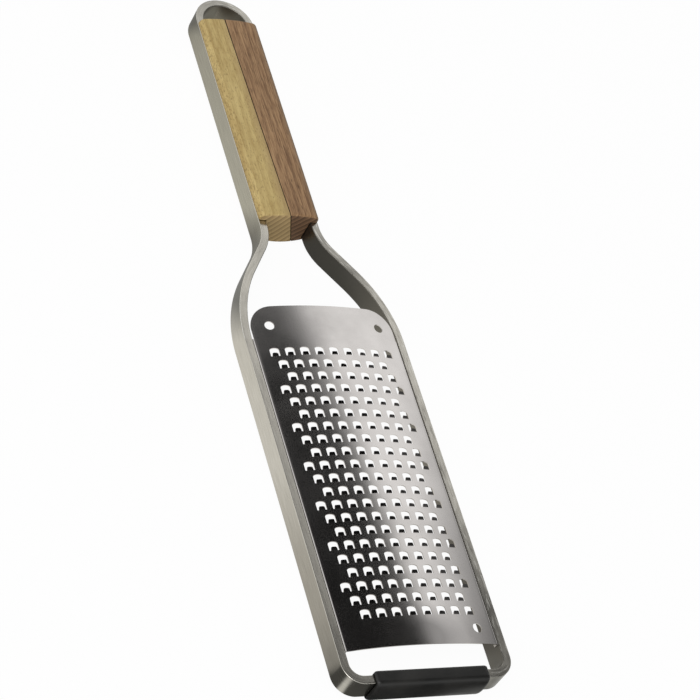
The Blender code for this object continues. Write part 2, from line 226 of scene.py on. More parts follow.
def round_end(depth: float, draw_in: float, steps: int) -> None:
    """Rounds the picked end face with insets that follow a quarter ellipse.

    Args:
        depth: How far the end is drawn out.
        draw_in: How far its outline is drawn in.
        steps: Number of insets.
    """
    turns = [math.pi / 2 * i / steps for i in range(steps + 1)]
    for first, last in zip(turns, turns[1:]):
        bpy.ops.mesh.inset(
            thickness=draw_in * (math.cos(first) - math.cos(last)),
            depth=depth * (math.sin(last) - math.sin(first)),
            use_even_offset=True,
            use_boundary=True,
        )


def slice_along(piece: bpy.types.Object, places: list, normal: tuple) -> None:
    """Cuts the mesh with planes, without opening it.

    Args:
        piece: The mesh object to cut.
        places: A point of each plane.
        normal: The planes' normal.
    """
    with editing(piece):
        for place in places:
            pick_everything()
            bpy.ops.mesh.bisect(plane_co=place, plane_no=normal)


def settled(piece: bpy.types.Object, name: str) -> bpy.types.Object:
    """Names a piece and moves its place, turn and size into its mesh.

    Args:
        piece: The piece.
        name: Its name.

    Returns:
        The piece.
    """
    piece.name = piece.data.name = name
    activate(piece)
    bpy.ops.object.transform_apply(location=True, rotation=True, scale=True)
    return piece


def add_plane(name: str, middle: tuple, size: tuple, turn: tuple = (0, 0, 0)) -> bpy.types.Object:
    """Adds a plane at its size and place.

    Args:
        name: Name of the new object.
        middle: Where its middle lies.
        size: Its sizes along X and Y before it is turned.
        turn: Its rotation.

    Returns:
        The plane, with its place in its mesh.
    """
    deselect_all()
    bpy.ops.mesh.primitive_plane_add(size=1, location=middle, rotation=turn)
    bpy.context.object.scale = (*size, 1)
    return settled(bpy.context.object, name)


def add_block(name: str, low: tuple, high: tuple) -> bpy.types.Object:
    """Adds a block between two corners.

    Args:
        name: Name of the new object.
        low: Its lowest corner.
        high: Its highest corner.

    Returns:
        The block, with its place in its mesh.
    """
    deselect_all()
    bpy.ops.mesh.primitive_cube_add(size=1, location=(Vector(low) + Vector(high)) / 2)
    bpy.context.object.scale = Vector(high) - Vector(low)
    return settled(bpy.context.object, name)


def copied(piece: bpy.types.Object, place: Vector) -> bpy.types.Object:
    """Copies a piece, with a mesh of its own.

    Args:
        piece: The piece.
        place: How far the copy is moved.

    Returns:
        The copy.
    """
    twin = piece.copy()
    twin.data = piece.data.copy()
    twin.location = place
    bpy.context.scene.collection.objects.link(twin)
    return twin


def joined(pieces: list, name: str) -> bpy.types.Object:
    """Makes several pieces one mesh.

    Args:
        pieces: The pieces.
        name: Name of the whole.

    Returns:
        The whole.
    """
    deselect_all()
    for piece in pieces:
        piece.select_set(True)
    bpy.context.view_layer.objects.active = pieces[0]
    bpy.ops.object.join()
    return settled(bpy.context.object, name)


def scrap(piece: bpy.types.Object) -> None:
    """Throws a cutter or other helper away."""
    bpy.data.objects.remove(piece, do_unlink=True)


def modify(piece: bpy.types.Object, kind: str, **settings: object) -> None:
    """Gives a piece a modifier and applies it.

    Args:
        piece: The piece.
        kind: The modifier's type.
        settings: The modifier's own settings.
    """
    modifier = piece.modifiers.new(kind.lower(), kind)
    for setting, value in settings.items():
        setattr(modifier, setting, value)
    activate(piece)
    bpy.ops.object.modifier_apply(modifier=modifier.name)


def cut_away(piece: bpy.types.Object, cutter: bpy.types.Object) -> None:
    """Cuts a cutter's shape out of a piece, and throws the cutter away."""
    modify(piece, "BOOLEAN", operation="DIFFERENCE", solver="EXACT", object=cutter)
    scrap(cutter)


def outward(piece: bpy.types.Object) -> None:
    """Merges doubles and turns every face of a closed shell outwards.

    Args:
        piece: The piece.
    """
    with editing(piece):
        pick_everything()
        bpy.ops.mesh.remove_doubles(threshold=MERGE)
        turn_outwards()


def smooth(piece: bpy.types.Object, angle: float) -> None:
    """Shades a piece smooth apart from edges sharper than an angle in degrees."""
    activate(piece)
    bpy.ops.object.shade_smooth_by_angle(angle=math.radians(angle), keep_sharp_edges=False)


def weigh_normals(piece: bpy.types.Object) -> None:
    """Lets the large flat faces keep their own normals beside narrow rounded edges."""
    modify(piece, "WEIGHTED_NORMAL", keep_sharp=True, weight=FLAT_FACE_WEIGHT)


def set_mark(piece: bpy.types.Object, mark: Mark, values: list) -> None:
    """Gives each face of a piece its value of a mark."""
    layer = piece.data.attributes.new(mark.value, "FLOAT", "FACE")
    layer.data.foreach_set("value", values)


# Materials


def linear(code: str) -> tuple:
    """Turns an sRGB hex colour to a linear one.

    Args:
        code: The colour's code.

    Returns:
        Red, green, blue and alpha.
    """
    shares = [int(code[i : i + 2], 16) / 255 for i in (1, 3, 5)]
    values = [s / 12.92 if s <= 0.04045 else ((s + 0.055) / 1.055) ** 2.4 for s in shares]
    return (*values, 1.0)


def grey(level: float) -> tuple:
    """A linear grey, as RGBA."""
    return (level, level, level, 1.0)


def feed(tree: Tree, node: bpy.types.Node, inputs: dict | Sequence) -> None:
    """Gives a node's inputs their values or their links.

    Args:
        tree: The node tree.
        node: The node.
        inputs: Values or feeding sockets, by the inputs' names or numbers, or in the inputs' order.
    """
    for key, value in inputs.items() if isinstance(inputs, dict) else enumerate(inputs):
        if isinstance(value, Socket):
            tree.links.new(value, node.inputs[key])
        else:
            node.inputs[key].default_value = value


def add_node(
    tree: Tree,
    kind: str,
    inputs: dict | Sequence = (),
    output: str | int = 0,
    stops: Sequence = (),
    **settings: object,
) -> Socket:
    """Adds a node to a tree.

    Args:
        tree: The node tree.
        kind: The node's type, without the words that every type starts with.
        inputs: Values or feeding sockets, by the inputs' names or numbers, or in the inputs' order.
        output: Name or number of the output that is wanted.
        stops: For a colour ramp, pairs of place and linear colour, in order.
        settings: The node's own settings.

    Returns:
        The wanted output.
    """
    node = tree.nodes.new("ShaderNode" + kind)
    for setting, value in settings.items():
        setattr(node, setting, value)
    feed(tree, node, inputs)
    if stops:
        elements = node.color_ramp.elements
        elements.remove(elements[-1])
        elements[0].position, elements[0].color = stops[0]
        for place, colour in stops[1:]:
            elements.new(place).color = colour
    return node.outputs[output]


def spots(tree: Tree, place: Socket, size: tuple, **grain: float) -> Socket:
    """Makes noise whose spots have a real size.

    Args:
        tree: The node tree.
        place: Where the noise is read.
        size: The spots' size along each axis.
        grain: The noise's other inputs.

    Returns:
        The noise.
    """
    drawn = add_node(tree, "Mapping", {"Vector": place, "Scale": tuple(1 / length for length in size)})
    return add_node(tree, "TexNoise", {"Vector": drawn, "Scale": 1.0, **grain})


def coated(tree: Tree, ground: Socket | tuple, coats: Sequence) -> Socket:
    """Lays coats of colour over a ground.

    Args:
        tree: The node tree.
        ground: The colour below.
        coats: For each coat, the lowest first, its share and its colour, as an sRGB code or a socket.

    Returns:
        The colour that shows.
    """
    for share, colour in coats:
        above = linear(colour) if isinstance(colour, str) else colour
        inputs = {"Factor": share, MIX_BELOW: ground, MIX_ABOVE: above}
        ground = add_node(tree, "Mix", inputs, MIX_RESULT, data_type="RGBA")
    return ground


@dataclass(frozen=True)
class Finish:
    """A finish: its material's name and how it is made."""

    name: str

    def surface(self, tree: Tree) -> dict:
        """Adds the nodes that tell how the surface looks.

        Args:
            tree: The material's node tree.

        Returns:
            What goes into the Principled shader's inputs.
        """
        raise NotImplementedError

    def dress(self, piece: bpy.types.Object) -> None:
        """Makes the material and gives the piece no other.

        Args:
            piece: The piece.
        """
        material = bpy.data.materials.new(self.name)
        material.use_nodes = True
        tree = material.node_tree
        feed(tree, tree.nodes["Principled BSDF"], self.surface(tree))
        piece.data.materials.clear()
        piece.data.materials.append(material)


@dataclass(frozen=True)
class BrushedBarSteel(Finish):
    """Flat stainless bar, belt-brushed lengthwise.

    The eye sees fine streaks along the bar, bright and dark nicks on its front edge, and scuffed stretches. Its inner
    side is painted darker and made rougher, as painted shade; its outer long edges are lighter, partly polish and
    partly painted highlight; and the scuffed stretches are partly wear and partly painted shade.
    """

    name: str = "brushed_stainless_bar"
    bright: str = "#d3cfc5"
    dull: str = "#bcb8ae"
    # Painted shade: the bar's inner faces are painted this darker colour, standing in for the dark reflections they
    # show
    inner_shade: str = "#78746b"
    # Scuffed steel, and painted shade for dark reflections
    scuffed_and_shaded: str = "#6b6964"
    # The outer long edges' lighter colour: partly polish, and partly a painted highlight along the rails
    edge: str = "#e2e0d8"
    # Real brushing is finer: the streaks are drawn 0.25 mm wide, so that they show
    streak_size: tuple = (0.0090, 0.00025, 1.0)
    streak_reach: tuple = (0.3, 0.7)
    streak_height: float = 0.00004
    nick_size: tuple = (0.0055, 0.0007, 1.0)
    bright_nicks: tuple = (0.44, 0.34, 0.0, 0.60)
    dark_nicks: tuple = (0.54, 0.68, 0.0, 0.50)
    # Noise cells in a metre, for the marks that hands leave
    handling: float = 60.0
    handled: tuple = (0.35, 0.65, 0.55, 1.0)
    roughness: tuple = (0.3, 0.7, 0.17, 0.29)
    inner_roughness: float = 0.16
    # The share that is scuffed and painted darker, by the distance along the bar from the middle of the foot, to the
    # left below zero. It was fitted to how bright the bar is in the photograph: partly wear, and partly painted shade
    # standing in for dark reflections.
    scuff_and_shade_span: float = 0.4
    scuff_and_shade_stops: tuple = (
        (-0.350, 0.70), (-0.322, 0.0), (-0.238, 0.0), (-0.215, 0.15), (-0.175, 0.0),
        (-0.060, 0.0), (-0.042, 0.35), (-0.022, 0.35), (-0.018, 0.0), (0.018, 0.0),
        (0.024, 0.95), (0.058, 0.90), (0.098, 0.0), (0.178, 0.0), (0.200, 0.40),
        (0.220, 1.0), (0.240, 0.40), (0.325, 0.0), (0.350, 0.60),
    )

    def surface(self, tree: Tree) -> dict:
        """Lays painted shade, scuffs, nicks, polish and painted highlight over streaks that follow the bar's own UV
        map.

        Args:
            tree: The material's node tree.

        Returns:
            What goes into the Principled shader's inputs.
        """
        place = add_node(tree, "UVMap", uv_map=BAR_MAP)
        streaks = spots(tree, place, self.streak_size, Detail=3.0, Roughness=0.6)
        handling = add_node(tree, "TexNoise", {"Vector": place, "Scale": self.handling, "Detail": 2.0})
        low, high = self.streak_reach
        brushed = add_node(
            tree, "ValToRGB", (streaks,), stops=((low, linear(self.dull)), (high, linear(self.bright)))
        )
        inner_shade, polish_and_highlight = (
            add_node(tree, "Attribute", output="Fac", attribute_name=mark.value)
            for mark in (Mark.MILL_SKIN, Mark.POLISHED_EDGE)
        )
        bright_nicks, dark_nicks = self.nicks(tree, place)
        polish_and_highlight = add_node(tree, "Math", (polish_and_highlight, bright_nicks), operation="MAXIMUM")
        coats = (
            (inner_shade, self.inner_shade),
            (self.scuffs_and_shade(tree, place, handling), self.scuffed_and_shaded),
            (dark_nicks, self.scuffed_and_shaded),
            (polish_and_highlight, self.edge),
        )
        rough = add_node(tree, "MapRange", (handling, *self.roughness))
        return {
            "Base Color": coated(tree, brushed, coats),
            "Metallic": 1.0,
            "Roughness": add_node(
                tree, "Math", (inner_shade, self.inner_roughness, rough), operation="MULTIPLY_ADD"
            ),
            "Normal": add_node(
                tree, "Bump", {"Height": streaks, "Strength": 0.12, "Distance": self.streak_height}
            ),
        }

    def nicks(self, tree: Tree, place: Socket) -> list:
        """Draws the long marks that use has left on the bar's narrow front edge.

        Args:
            tree: The material's node tree.
            place: Distance along and around the bar.

        Returns:
            The share of bright metal and the share of dull metal.
        """
        marks = spots(tree, place, self.nick_size, Detail=2.0, Roughness=0.5, Distortion=0.6)
        front = add_node(tree, "Attribute", output="Fac", attribute_name=Mark.FRONT_EDGE.value)
        shares = [add_node(tree, "MapRange", (marks, *reach)) for reach in (self.bright_nicks, self.dark_nicks)]
        return [add_node(tree, "Math", (share, front), operation="MULTIPLY") for share in shares]

    def scuffs_and_shade(self, tree: Tree, place: Socket, handling: Socket) -> Socket:
        """Spreads scuffs and painted shade along the bar: most at the right rail's foot end and at the right
        shoulder.

        Args:
            tree: The material's node tree.
            place: Distance along and around the bar.
            handling: Noise that the blotches follow.

        Returns:
            The share that is scuffed and painted darker.
        """
        span = self.scuff_and_shade_span
        along = add_node(tree, "SeparateXYZ", (place,))
        spread = add_node(tree, "MapRange", (along, -span, span))
        stops = [((x + span) / (2 * span), grey(share)) for x, share in self.scuff_and_shade_stops]
        reach = add_node(tree, "ValToRGB", (spread,), stops=stops)
        blotches = add_node(tree, "MapRange", (handling, *self.handled))
        return add_node(tree, "Math", (reach, blotches), operation="MULTIPLY")


@dataclass(frozen=True)
class RolledSheetSteel(Finish):
    """Cold-rolled stainless sheet.

    The eye sees nearly a mirror, softened by faint rolling lines and wiping marks. The dark patch at its foot edge
    is no part of the real finish: it is a painted dark reflection.
    """

    name: str = "rolled_stainless_sheet"
    bright: str = "#d7d3d0"
    clouded: str = "#c9c5c2"
    # Painted dark reflection: the colour, place, size and fade of the dark patch at the foot edge
    dark_reflection: str = "#999694"
    dark_reflection_place: tuple = (0.0015, -0.1410)
    dark_reflection_reach: tuple = (0.016, 0.014)
    dark_reflection_fade: tuple = (0.4, 1.0, 1.0, 0.0)
    # Real rolling lines are finer: they are drawn 0.6 mm wide, so that they show
    line_size: tuple = (0.0006, 0.050, 0.0006)
    line_height: float = 0.00003
    # Noise cells in a metre, for the wiping marks
    wiping: float = 45.0
    wiped: tuple = (0.35, 0.65)
    roughness: tuple = (0.16, 0.12)

    def surface(self, tree: Tree) -> dict:
        """Clouds the sheet in its own coordinates.

        Args:
            tree: The material's node tree.

        Returns:
            What goes into the Principled shader's inputs.
        """
        place = add_node(tree, "TexCoord", output="Object")
        lines = spots(tree, place, self.line_size, Detail=2.0)
        wiping = add_node(
            tree, "TexNoise", {"Vector": place, "Scale": self.wiping, "Detail": 4.0, "Roughness": 0.6}
        )
        low, high = self.wiped
        clean = add_node(
            tree, "ValToRGB", (wiping,), stops=((low, linear(self.clouded)), (high, linear(self.bright)))
        )
        return {
            "Base Color": coated(tree, clean, ((self.paint_dark_reflection(tree, place), self.dark_reflection),)),
            "Metallic": 1.0,
            "Roughness": add_node(tree, "MapRange", (wiping, *self.wiped, *self.roughness)),
            "Normal": add_node(
                tree, "Bump", {"Height": lines, "Strength": 0.05, "Distance": self.line_height}
            ),
        }

    def paint_dark_reflection(self, tree: Tree, place: Socket) -> Socket:
        """Paints a soft dark patch in the middle of the sheet's foot edge: a painted dark reflection.

        The photograph shows no such mark. Without it the sheet is brighter there than in the photograph, probably
        because the real one mirrors something dark that this studio lacks.

        Args:
            tree: The material's node tree.
            place: The point on the sheet.

        Returns:
            The share of the painted dark reflection.
        """
        (across, along), (wide, long) = self.dark_reflection_place, self.dark_reflection_reach
        patch = add_node(
            tree,
            "Mapping",
            {"Vector": place, "Location": (-across / wide, -along / long, 0), "Scale": (1 / wide, 1 / long, 0)},
        )
        away = add_node(tree, "VectorMath", (patch,), "Value", operation="LENGTH")
        return add_node(tree, "MapRange", (away, *self.dark_reflection_fade))


@dataclass(frozen=True)
class OiledWood(Finish):
    """Straight-grained hardwood, planed and oiled.

    The eye sees growth rings on the cut ends, and fine fibres and open pores along the length.
    """

    name: str = "oiled_light_hardwood"
    pale: str = "#c6b077"
    deep: str = "#a88f5a"
    pore: str = "#5c4728"
    end: str = "#b89e70"
    end_pore: str = "#836c47"
    glue: str = "#38281a"
    band: str = "#a38a60"
    # Where a darker band and a flecked edge lie across the wood, and how strong they are. The flecked edge is also
    # painted darker, as painted shade where the crown rolls away
    band_reach: tuple = (-0.0052, -0.0016)
    band_share: float = 0.75
    fleck_and_shade_reach: tuple = (-0.0100, -0.0128)
    fleck_and_shade_share: float = 0.10
    tones: tuple = (0.42, 0.68)
    ring_width: float = 0.0023
    ring_lean: float = -33.0
    ring_share: float = 0.12
    end_fibre_share: float = 0.25
    end_tones: tuple = (0.2, 0.8, 0.2, 1.0)
    # Widths and lengths of the clouds, fibres and pores. Real fibres and pores are finer: they are drawn about half a
    # millimetre wide, so that they show.
    clouds: tuple = (0.0032, 0.022)
    fibres: tuple = (0.0005, 0.0050)
    fibre_share: float = 0.5
    pores: tuple = (0.0004, 0.0014)
    pore_reach: tuple = (0.60, 0.74)
    pore_share: float = 0.5
    roughness: tuple = (0.3, 0.7, 0.66, 0.54)
    relief: float = 0.00012

    def surface(self, tree: Tree) -> dict:
        """Grows the wood in the piece's own coordinates, with its cut ends and glued faces marked.

        Args:
            tree: The material's node tree.

        Returns:
            What goes into the Principled shader's inputs.
        """
        place = add_node(tree, "TexCoord", output="Object")
        across = add_node(tree, "SeparateXYZ", (place,))
        clouds, fibres, pores = (
            spots(tree, place, (width, length, width), Detail=detail, Roughness=0.6)
            for (width, length), detail in ((self.clouds, 3.0), (self.fibres, 3.0), (self.pores, 1.0))
        )
        rings = self.rings(tree, place)
        fleck_and_edge_shade = add_node(tree, "MapRange", (across, *self.fleck_and_shade_reach, 0.0, self.fleck_and_shade_share))
        tone = add_node(tree, "Mix", {"Factor": self.fibre_share, "A": clouds, "B": fibres})
        tone = add_node(tree, "Math", (rings, self.ring_share, tone), operation="MULTIPLY_ADD")
        # Painted shade: the tone is darkened towards the flecked edge
        tone = add_node(tree, "Math", (tone, fleck_and_edge_shade), operation="SUBTRACT")
        low, high = self.tones
        ground = add_node(
            tree, "ValToRGB", (tone,), stops=((low, linear(self.deep)), (high, linear(self.pale)))
        )
        banded = add_node(tree, "MapRange", (across, *self.band_reach, 0.0, self.band_share))
        pores = add_node(tree, "Math", (pores, fleck_and_edge_shade), operation="ADD")
        open_pores = add_node(tree, "MapRange", (pores, *self.pore_reach, 0.0, self.pore_share))
        ringed = add_node(tree, "Mix", {"Factor": self.end_fibre_share, "A": rings, "B": fibres})
        end_tone = add_node(tree, "MapRange", (ringed, *self.end_tones))
        end_grain = coated(tree, linear(self.end_pore), ((end_tone, self.end),))
        ends, glued = (
            add_node(tree, "Attribute", output="Fac", attribute_name=mark.value)
            for mark in (Mark.END_GRAIN, Mark.GLUE_LINE)
        )
        coats = ((banded, self.band), (open_pores, self.pore), (ends, end_grain), (glued, self.glue))
        height = add_node(tree, "Math", (open_pores, -1.0, fibres), operation="MULTIPLY_ADD")
        return {
            "Base Color": coated(tree, ground, coats),
            "Roughness": add_node(tree, "MapRange", (fibres, *self.roughness)),
            "Specular IOR Level": 0.3,
            "Normal": add_node(tree, "Bump", {"Height": height, "Strength": 0.3, "Distance": self.relief}),
        }

    def rings(self, tree: Tree, place: Socket) -> Socket:
        """Stacks growth rings, as slanted sheets along the length that waver a little.

        Args:
            tree: The material's node tree.
            place: The point in the wood.

        Returns:
            The rings' tone.
        """
        turn = (0, math.radians(self.ring_lean), 0)
        turned = add_node(tree, "Mapping", {"Vector": place, "Rotation": turn, "Scale": (1, 0.04, 1)})
        # The Wave texture repeats 20 times in 2 pi units
        waves = {
            "Vector": turned,
            "Scale": 0.314 / self.ring_width,
            "Distortion": 2.5,
            "Detail": 3.0,
            "Detail Scale": 0.4,
            "Detail Roughness": 0.6,
        }
        return add_node(
            tree, "TexWave", waves, "Fac", wave_type="BANDS", bands_direction="X", wave_profile="SAW"
        )


@dataclass(frozen=True)
class MouldedRubber(Finish):
    """Matt black moulded rubber.

    The eye sees a fine spark-eroded grain that spreads its highlight, and slightly paler rubbed places.
    """

    name: str = "moulded_black_rubber"
    ground: str = "#191918"
    rubbed: str = "#252422"
    # Real grain is finer: its spots are drawn half a millimetre wide, so that they show
    grain: float = 0.0005
    grain_height: float = 0.00005
    # Noise cells in a metre, for the rubbed places
    wear: float = 120.0
    worn: tuple = (0.35, 0.7)
    roughness: tuple = (0.3, 0.7, 0.36, 0.50)

    def surface(self, tree: Tree) -> dict:
        """Grains and rubs the surface in the piece's own coordinates.

        Args:
            tree: The material's node tree.

        Returns:
            What goes into the Principled shader's inputs.
        """
        place = add_node(tree, "TexCoord", output="Object")
        grain = add_node(tree, "TexNoise", {"Vector": place, "Scale": 1 / self.grain, "Detail": 2.0})
        wear = add_node(tree, "TexNoise", {"Vector": place, "Scale": self.wear, "Detail": 3.0})
        low, high = self.worn
        return {
            "Base Color": add_node(
                tree, "ValToRGB", (wear,), stops=((low, linear(self.ground)), (high, linear(self.rubbed)))
            ),
            "Roughness": add_node(tree, "MapRange", (wear, *self.roughness)),
            "Specular IOR Level": 0.42,
            "Normal": add_node(
                tree, "Bump", {"Height": grain, "Strength": 0.3, "Distance": self.grain_height}
            ),
        }


# The object's pieces


@dataclass
class Piece:
    """A sub-assembly that stands for one CAD node."""

    node: str
    name: str
    slot: Slot
    finish: Finish

    def model(self) -> bpy.types.Object:
        """Builds the mesh in the frame's own place.

        Returns:
            The piece.
        """
        raise NotImplementedError

    def build(self, origin: Vector) -> bpy.types.Object:
        """Builds, dresses and registers the piece.

        Args:
            origin: Where the cross bar's outer back corner lies in the world, at X = 0.

        Returns:
            The finished piece.
        """
        piece = self.model()
        piece.location = origin
        settled(piece, self.name)
        self.finish.dress(piece)
        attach(piece, "root")
        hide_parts(self.node)
        faces = sum(len(polygon.vertices) - 2 for polygon in piece.data.polygons)
        LOG.info("%s: %d triangles", self.name, faces)
        return piece


@dataclass
class Bar:
    """Sizes of the flat bar and of the loop that it is bent into, to its centre line."""

    depth: float = 0.0095
    thickness: float = 0.0032
    edge_radius: float = 0.0003
    body_width: float = 0.0675
    handle_width: float = 0.0257
    rail_length: float = 0.13485
    handle_length: float = 0.1046
    foot_radius: float = 0.0063
    neck_radius: float = 0.0200
    shoulder_radius: float = 0.0580
    flank_length: float = 0.0126

    @property
    def half(self) -> float:
        """Half the bar's thickness."""
        return self.thickness / 2

    @property
    def rail(self) -> float:
        """X of the rail's centre line."""
        return self.body_width / 2 - self.half

    @property
    def side(self) -> float:
        """X of the centre line beside the handle."""
        return self.handle_width / 2 - self.half

    @property
    def lean(self) -> float:
        """Angle of the flank to the rail.

        Returns:
            The angle at which neck, flank and shoulder together reach from the rail to the handle's side.
        """
        radii = self.neck_radius + self.shoulder_radius
        reach = self.rail - self.side
        root = math.sqrt(self.flank_length**2 + (2 * radii - reach) * reach)
        return 2 * math.atan2(root - self.flank_length, 2 * radii - reach)

    @property
    def rail_top(self) -> float:
        """Y where the rail meets the shoulder."""
        return self.half + self.foot_radius + self.rail_length

    @property
    def neck_top(self) -> float:
        """Y where the neck meets the straight side of the handle."""
        radii = self.neck_radius + self.shoulder_radius
        return self.rail_top + radii * math.sin(self.lean) + self.flank_length * math.cos(self.lean)

    @property
    def loop_centre(self) -> float:
        """Y of the middle of the hanging loop."""
        return self.neck_top + self.handle_length


@dataclass
class FrameBar(Piece):
    """The flat bar, bent on edge into one closed loop."""

    bar: Bar = field(default_factory=Bar)
    edge_segments: int = 4
    foot_steps: int = 16
    bend_steps: int = 28
    loop_steps: int = 48
    mirror_merge: float = 0.00001
    line_step: float = 0.0005
    smooth_angle: float = 40.0
    # A face that looks inwards this far is painted darker, as painted shade for the dark reflections that the inner
    # faces show. In the loop this painted shade is thin on the left and thickens to the right from the middle.
    inward: float = -0.5
    loop_shade: float = 0.4
    loop_shade_reach: float = 0.014
    # A face that looks outwards this far, and is neither upright nor flat, is painted lighter, partly polish and
    # partly a
    # painted highlight: in full along the rails, and less elsewhere
    outward: float = 0.2
    slopes: tuple = (0.2, 0.98)
    polish_and_highlight_reach: tuple = (0.042, 0.19)
    less_polish_and_highlight: float = 0.25
    # How much of its nicks the left side shows, where full nicks look too mottled beside the photograph
    less_nicked: float = 0.35

    def model(self) -> bpy.types.Object:
        """Carries the bar's section along half the loop, and mirrors it.

        Returns:
            The bar.
        """
        bar = self.bar
        piece = add_plane(
            "bar", (0, bar.half, bar.depth / 2), (bar.depth, bar.thickness), (0, math.pi / 2, 0)
        )
        with editing(piece):
            pick_everything()
            round_corners(bar.edge_radius, self.edge_segments)
            bpy.ops.mesh.select_mode(type=SelectMode.FACE.value)
            pick_everything()
            self.draw_out(Vector((bar.rail - bar.foot_radius, 0, 0)))
            foot = (bar.rail - bar.foot_radius, bar.half + bar.foot_radius, 0)
            self.bend(foot, math.pi / 2, self.foot_steps)
            self.draw_out(Vector((0, bar.rail_length, 0)))
            self.bend((bar.rail - bar.shoulder_radius, bar.rail_top, 0), bar.lean, self.bend_steps)
            self.draw_out(Vector((-math.sin(bar.lean), math.cos(bar.lean), 0)) * bar.flank_length)
            self.bend((bar.side + bar.neck_radius, bar.neck_top, 0), -bar.lean, self.bend_steps)
            self.draw_out(Vector((0, bar.handle_length, 0)))
            self.bend((0, bar.loop_centre, 0), math.pi / 2, self.loop_steps)
            pick(SelectMode.FACE, lambda middle, normal: close_to(middle.x, 0) and abs(normal.x) > AXIAL)
            bpy.ops.mesh.delete(type="FACE")
        modify(piece, "MIRROR", use_clip=True, merge_threshold=self.mirror_merge)
        outward(piece)
        self.unroll(piece)
        smooth(piece, self.smooth_angle)
        weigh_normals(piece)
        return piece

    @staticmethod
    def draw_out(distance: Vector) -> None:
        """Extrudes the picked section in a straight line."""
        bpy.ops.mesh.extrude_region_move(TRANSFORM_OT_translate={"value": distance})

    @staticmethod
    def bend(centre: tuple, angle: float, steps: int) -> None:
        """Spins the picked section about an upright axis, counter-clockwise where the angle is positive."""
        bpy.ops.mesh.spin(steps=steps, dupli=False, angle=-angle, center=centre, axis=(0, 0, 1))

    def centre_line(self) -> list:
        """Walks along the centre line of the right half.

        Returns:
            For each point its place, the outward direction and the distance along the bar.
        """
        bar = self.bar
        place = Vector((0, bar.half))
        heading = 0.0
        travelled = 0.0
        points = []
        runs = (
            (bar.rail - bar.foot_radius, 0.0),
            (bar.foot_radius * math.pi / 2, math.pi / 2),
            (bar.rail_length, 0.0),
            (bar.shoulder_radius * bar.lean, bar.lean),
            (bar.flank_length, 0.0),
            (bar.neck_radius * bar.lean, -bar.lean),
            (bar.handle_length, 0.0),
            (bar.side * math.pi / 2, math.pi / 2),
        )
        for length, turn in runs:
            count = math.ceil(length / self.line_step)
            for _ in range(count):
                points.append((place.copy(), Vector((math.sin(heading), -math.cos(heading))), travelled))
                middle = heading + turn / count / 2
                place += Vector((math.cos(middle), math.sin(middle))) * length / count
                heading += turn / count
                travelled += length / count
        points.append((place.copy(), Vector((0, 1)), travelled))
        return points

    def unroll(self, piece: bpy.types.Object) -> None:
        """Gives the bar a UV map in metres along and around it, and its marks.

        Args:
            piece: The bar.
        """
        line = self.centre_line()
        tree = KDTree(len(line))
        for i, (place, _, _) in enumerate(line):
            tree.insert((place.x, place.y, 0), i)
        tree.balance()
        mesh = piece.data
        unrolled = []
        for vertex in mesh.vertices:
            _, i, _ = tree.find((abs(vertex.co.x), vertex.co.y, 0))
            place, out, travelled = line[i]
            away = Vector((abs(vertex.co.x), vertex.co.y)) - place
            unrolled.append((travelled, away.dot(out), out))
        corners = mesh.uv_layers.new(name=BAR_MAP).data
        loop_start = line[-1][2] - self.bar.side * math.pi / 2
        rows = []
        for polygon in mesh.polygons:
            side = math.copysign(1, polygon.center.x)
            for corner in polygon.loop_indices:
                index = mesh.loops[corner].vertex_index
                travelled, offset, _ = unrolled[index]
                corners[corner].uv = (side * travelled, mesh.vertices[index].co.z - offset)
            travelled, _, out = unrolled[polygon.vertices[0]]
            rows.append(self.face_marks(polygon, out, travelled, travelled > loop_start))
        for mark, values in zip((Mark.MILL_SKIN, Mark.POLISHED_EDGE, Mark.FRONT_EDGE), zip(*rows)):
            set_mark(piece, mark, values)

    def face_marks(
        self, polygon: bpy.types.MeshPolygon, out: Vector, travelled: float, looped: bool
    ) -> tuple:
        """Works out one face's marks.

        Args:
            polygon: The face.
            out: The outward direction beside it, on the right half.
            travelled: Its distance along the bar.
            looped: Whether it lies in the hanging loop.

        Returns:
            Its shares of painted inner shade, of polish and painted highlight, and of front edge.
        """
        x, normal = polygon.center.x, polygon.normal
        facing = abs(normal.x) * out.x * math.copysign(1, normal.x * x)
        facing += normal.y * out.y
        shade_share = self.loop_shade + max(0.0, x) / self.loop_shade_reach if looped else 1.0
        flattest, steepest = self.slopes
        low, high = self.polish_and_highlight_reach
        polish_and_highlight_share = 1.0 if low < travelled < high else self.less_polish_and_highlight
        nicks = 1.0 if x > 0 else self.less_nicked
        return (
            0.0 if facing > self.inward else min(1.0, shade_share),
            polish_and_highlight_share if facing > self.outward and flattest < normal.z < steepest else 0.0,
            nicks if normal.z > steepest else 0.0,
        )


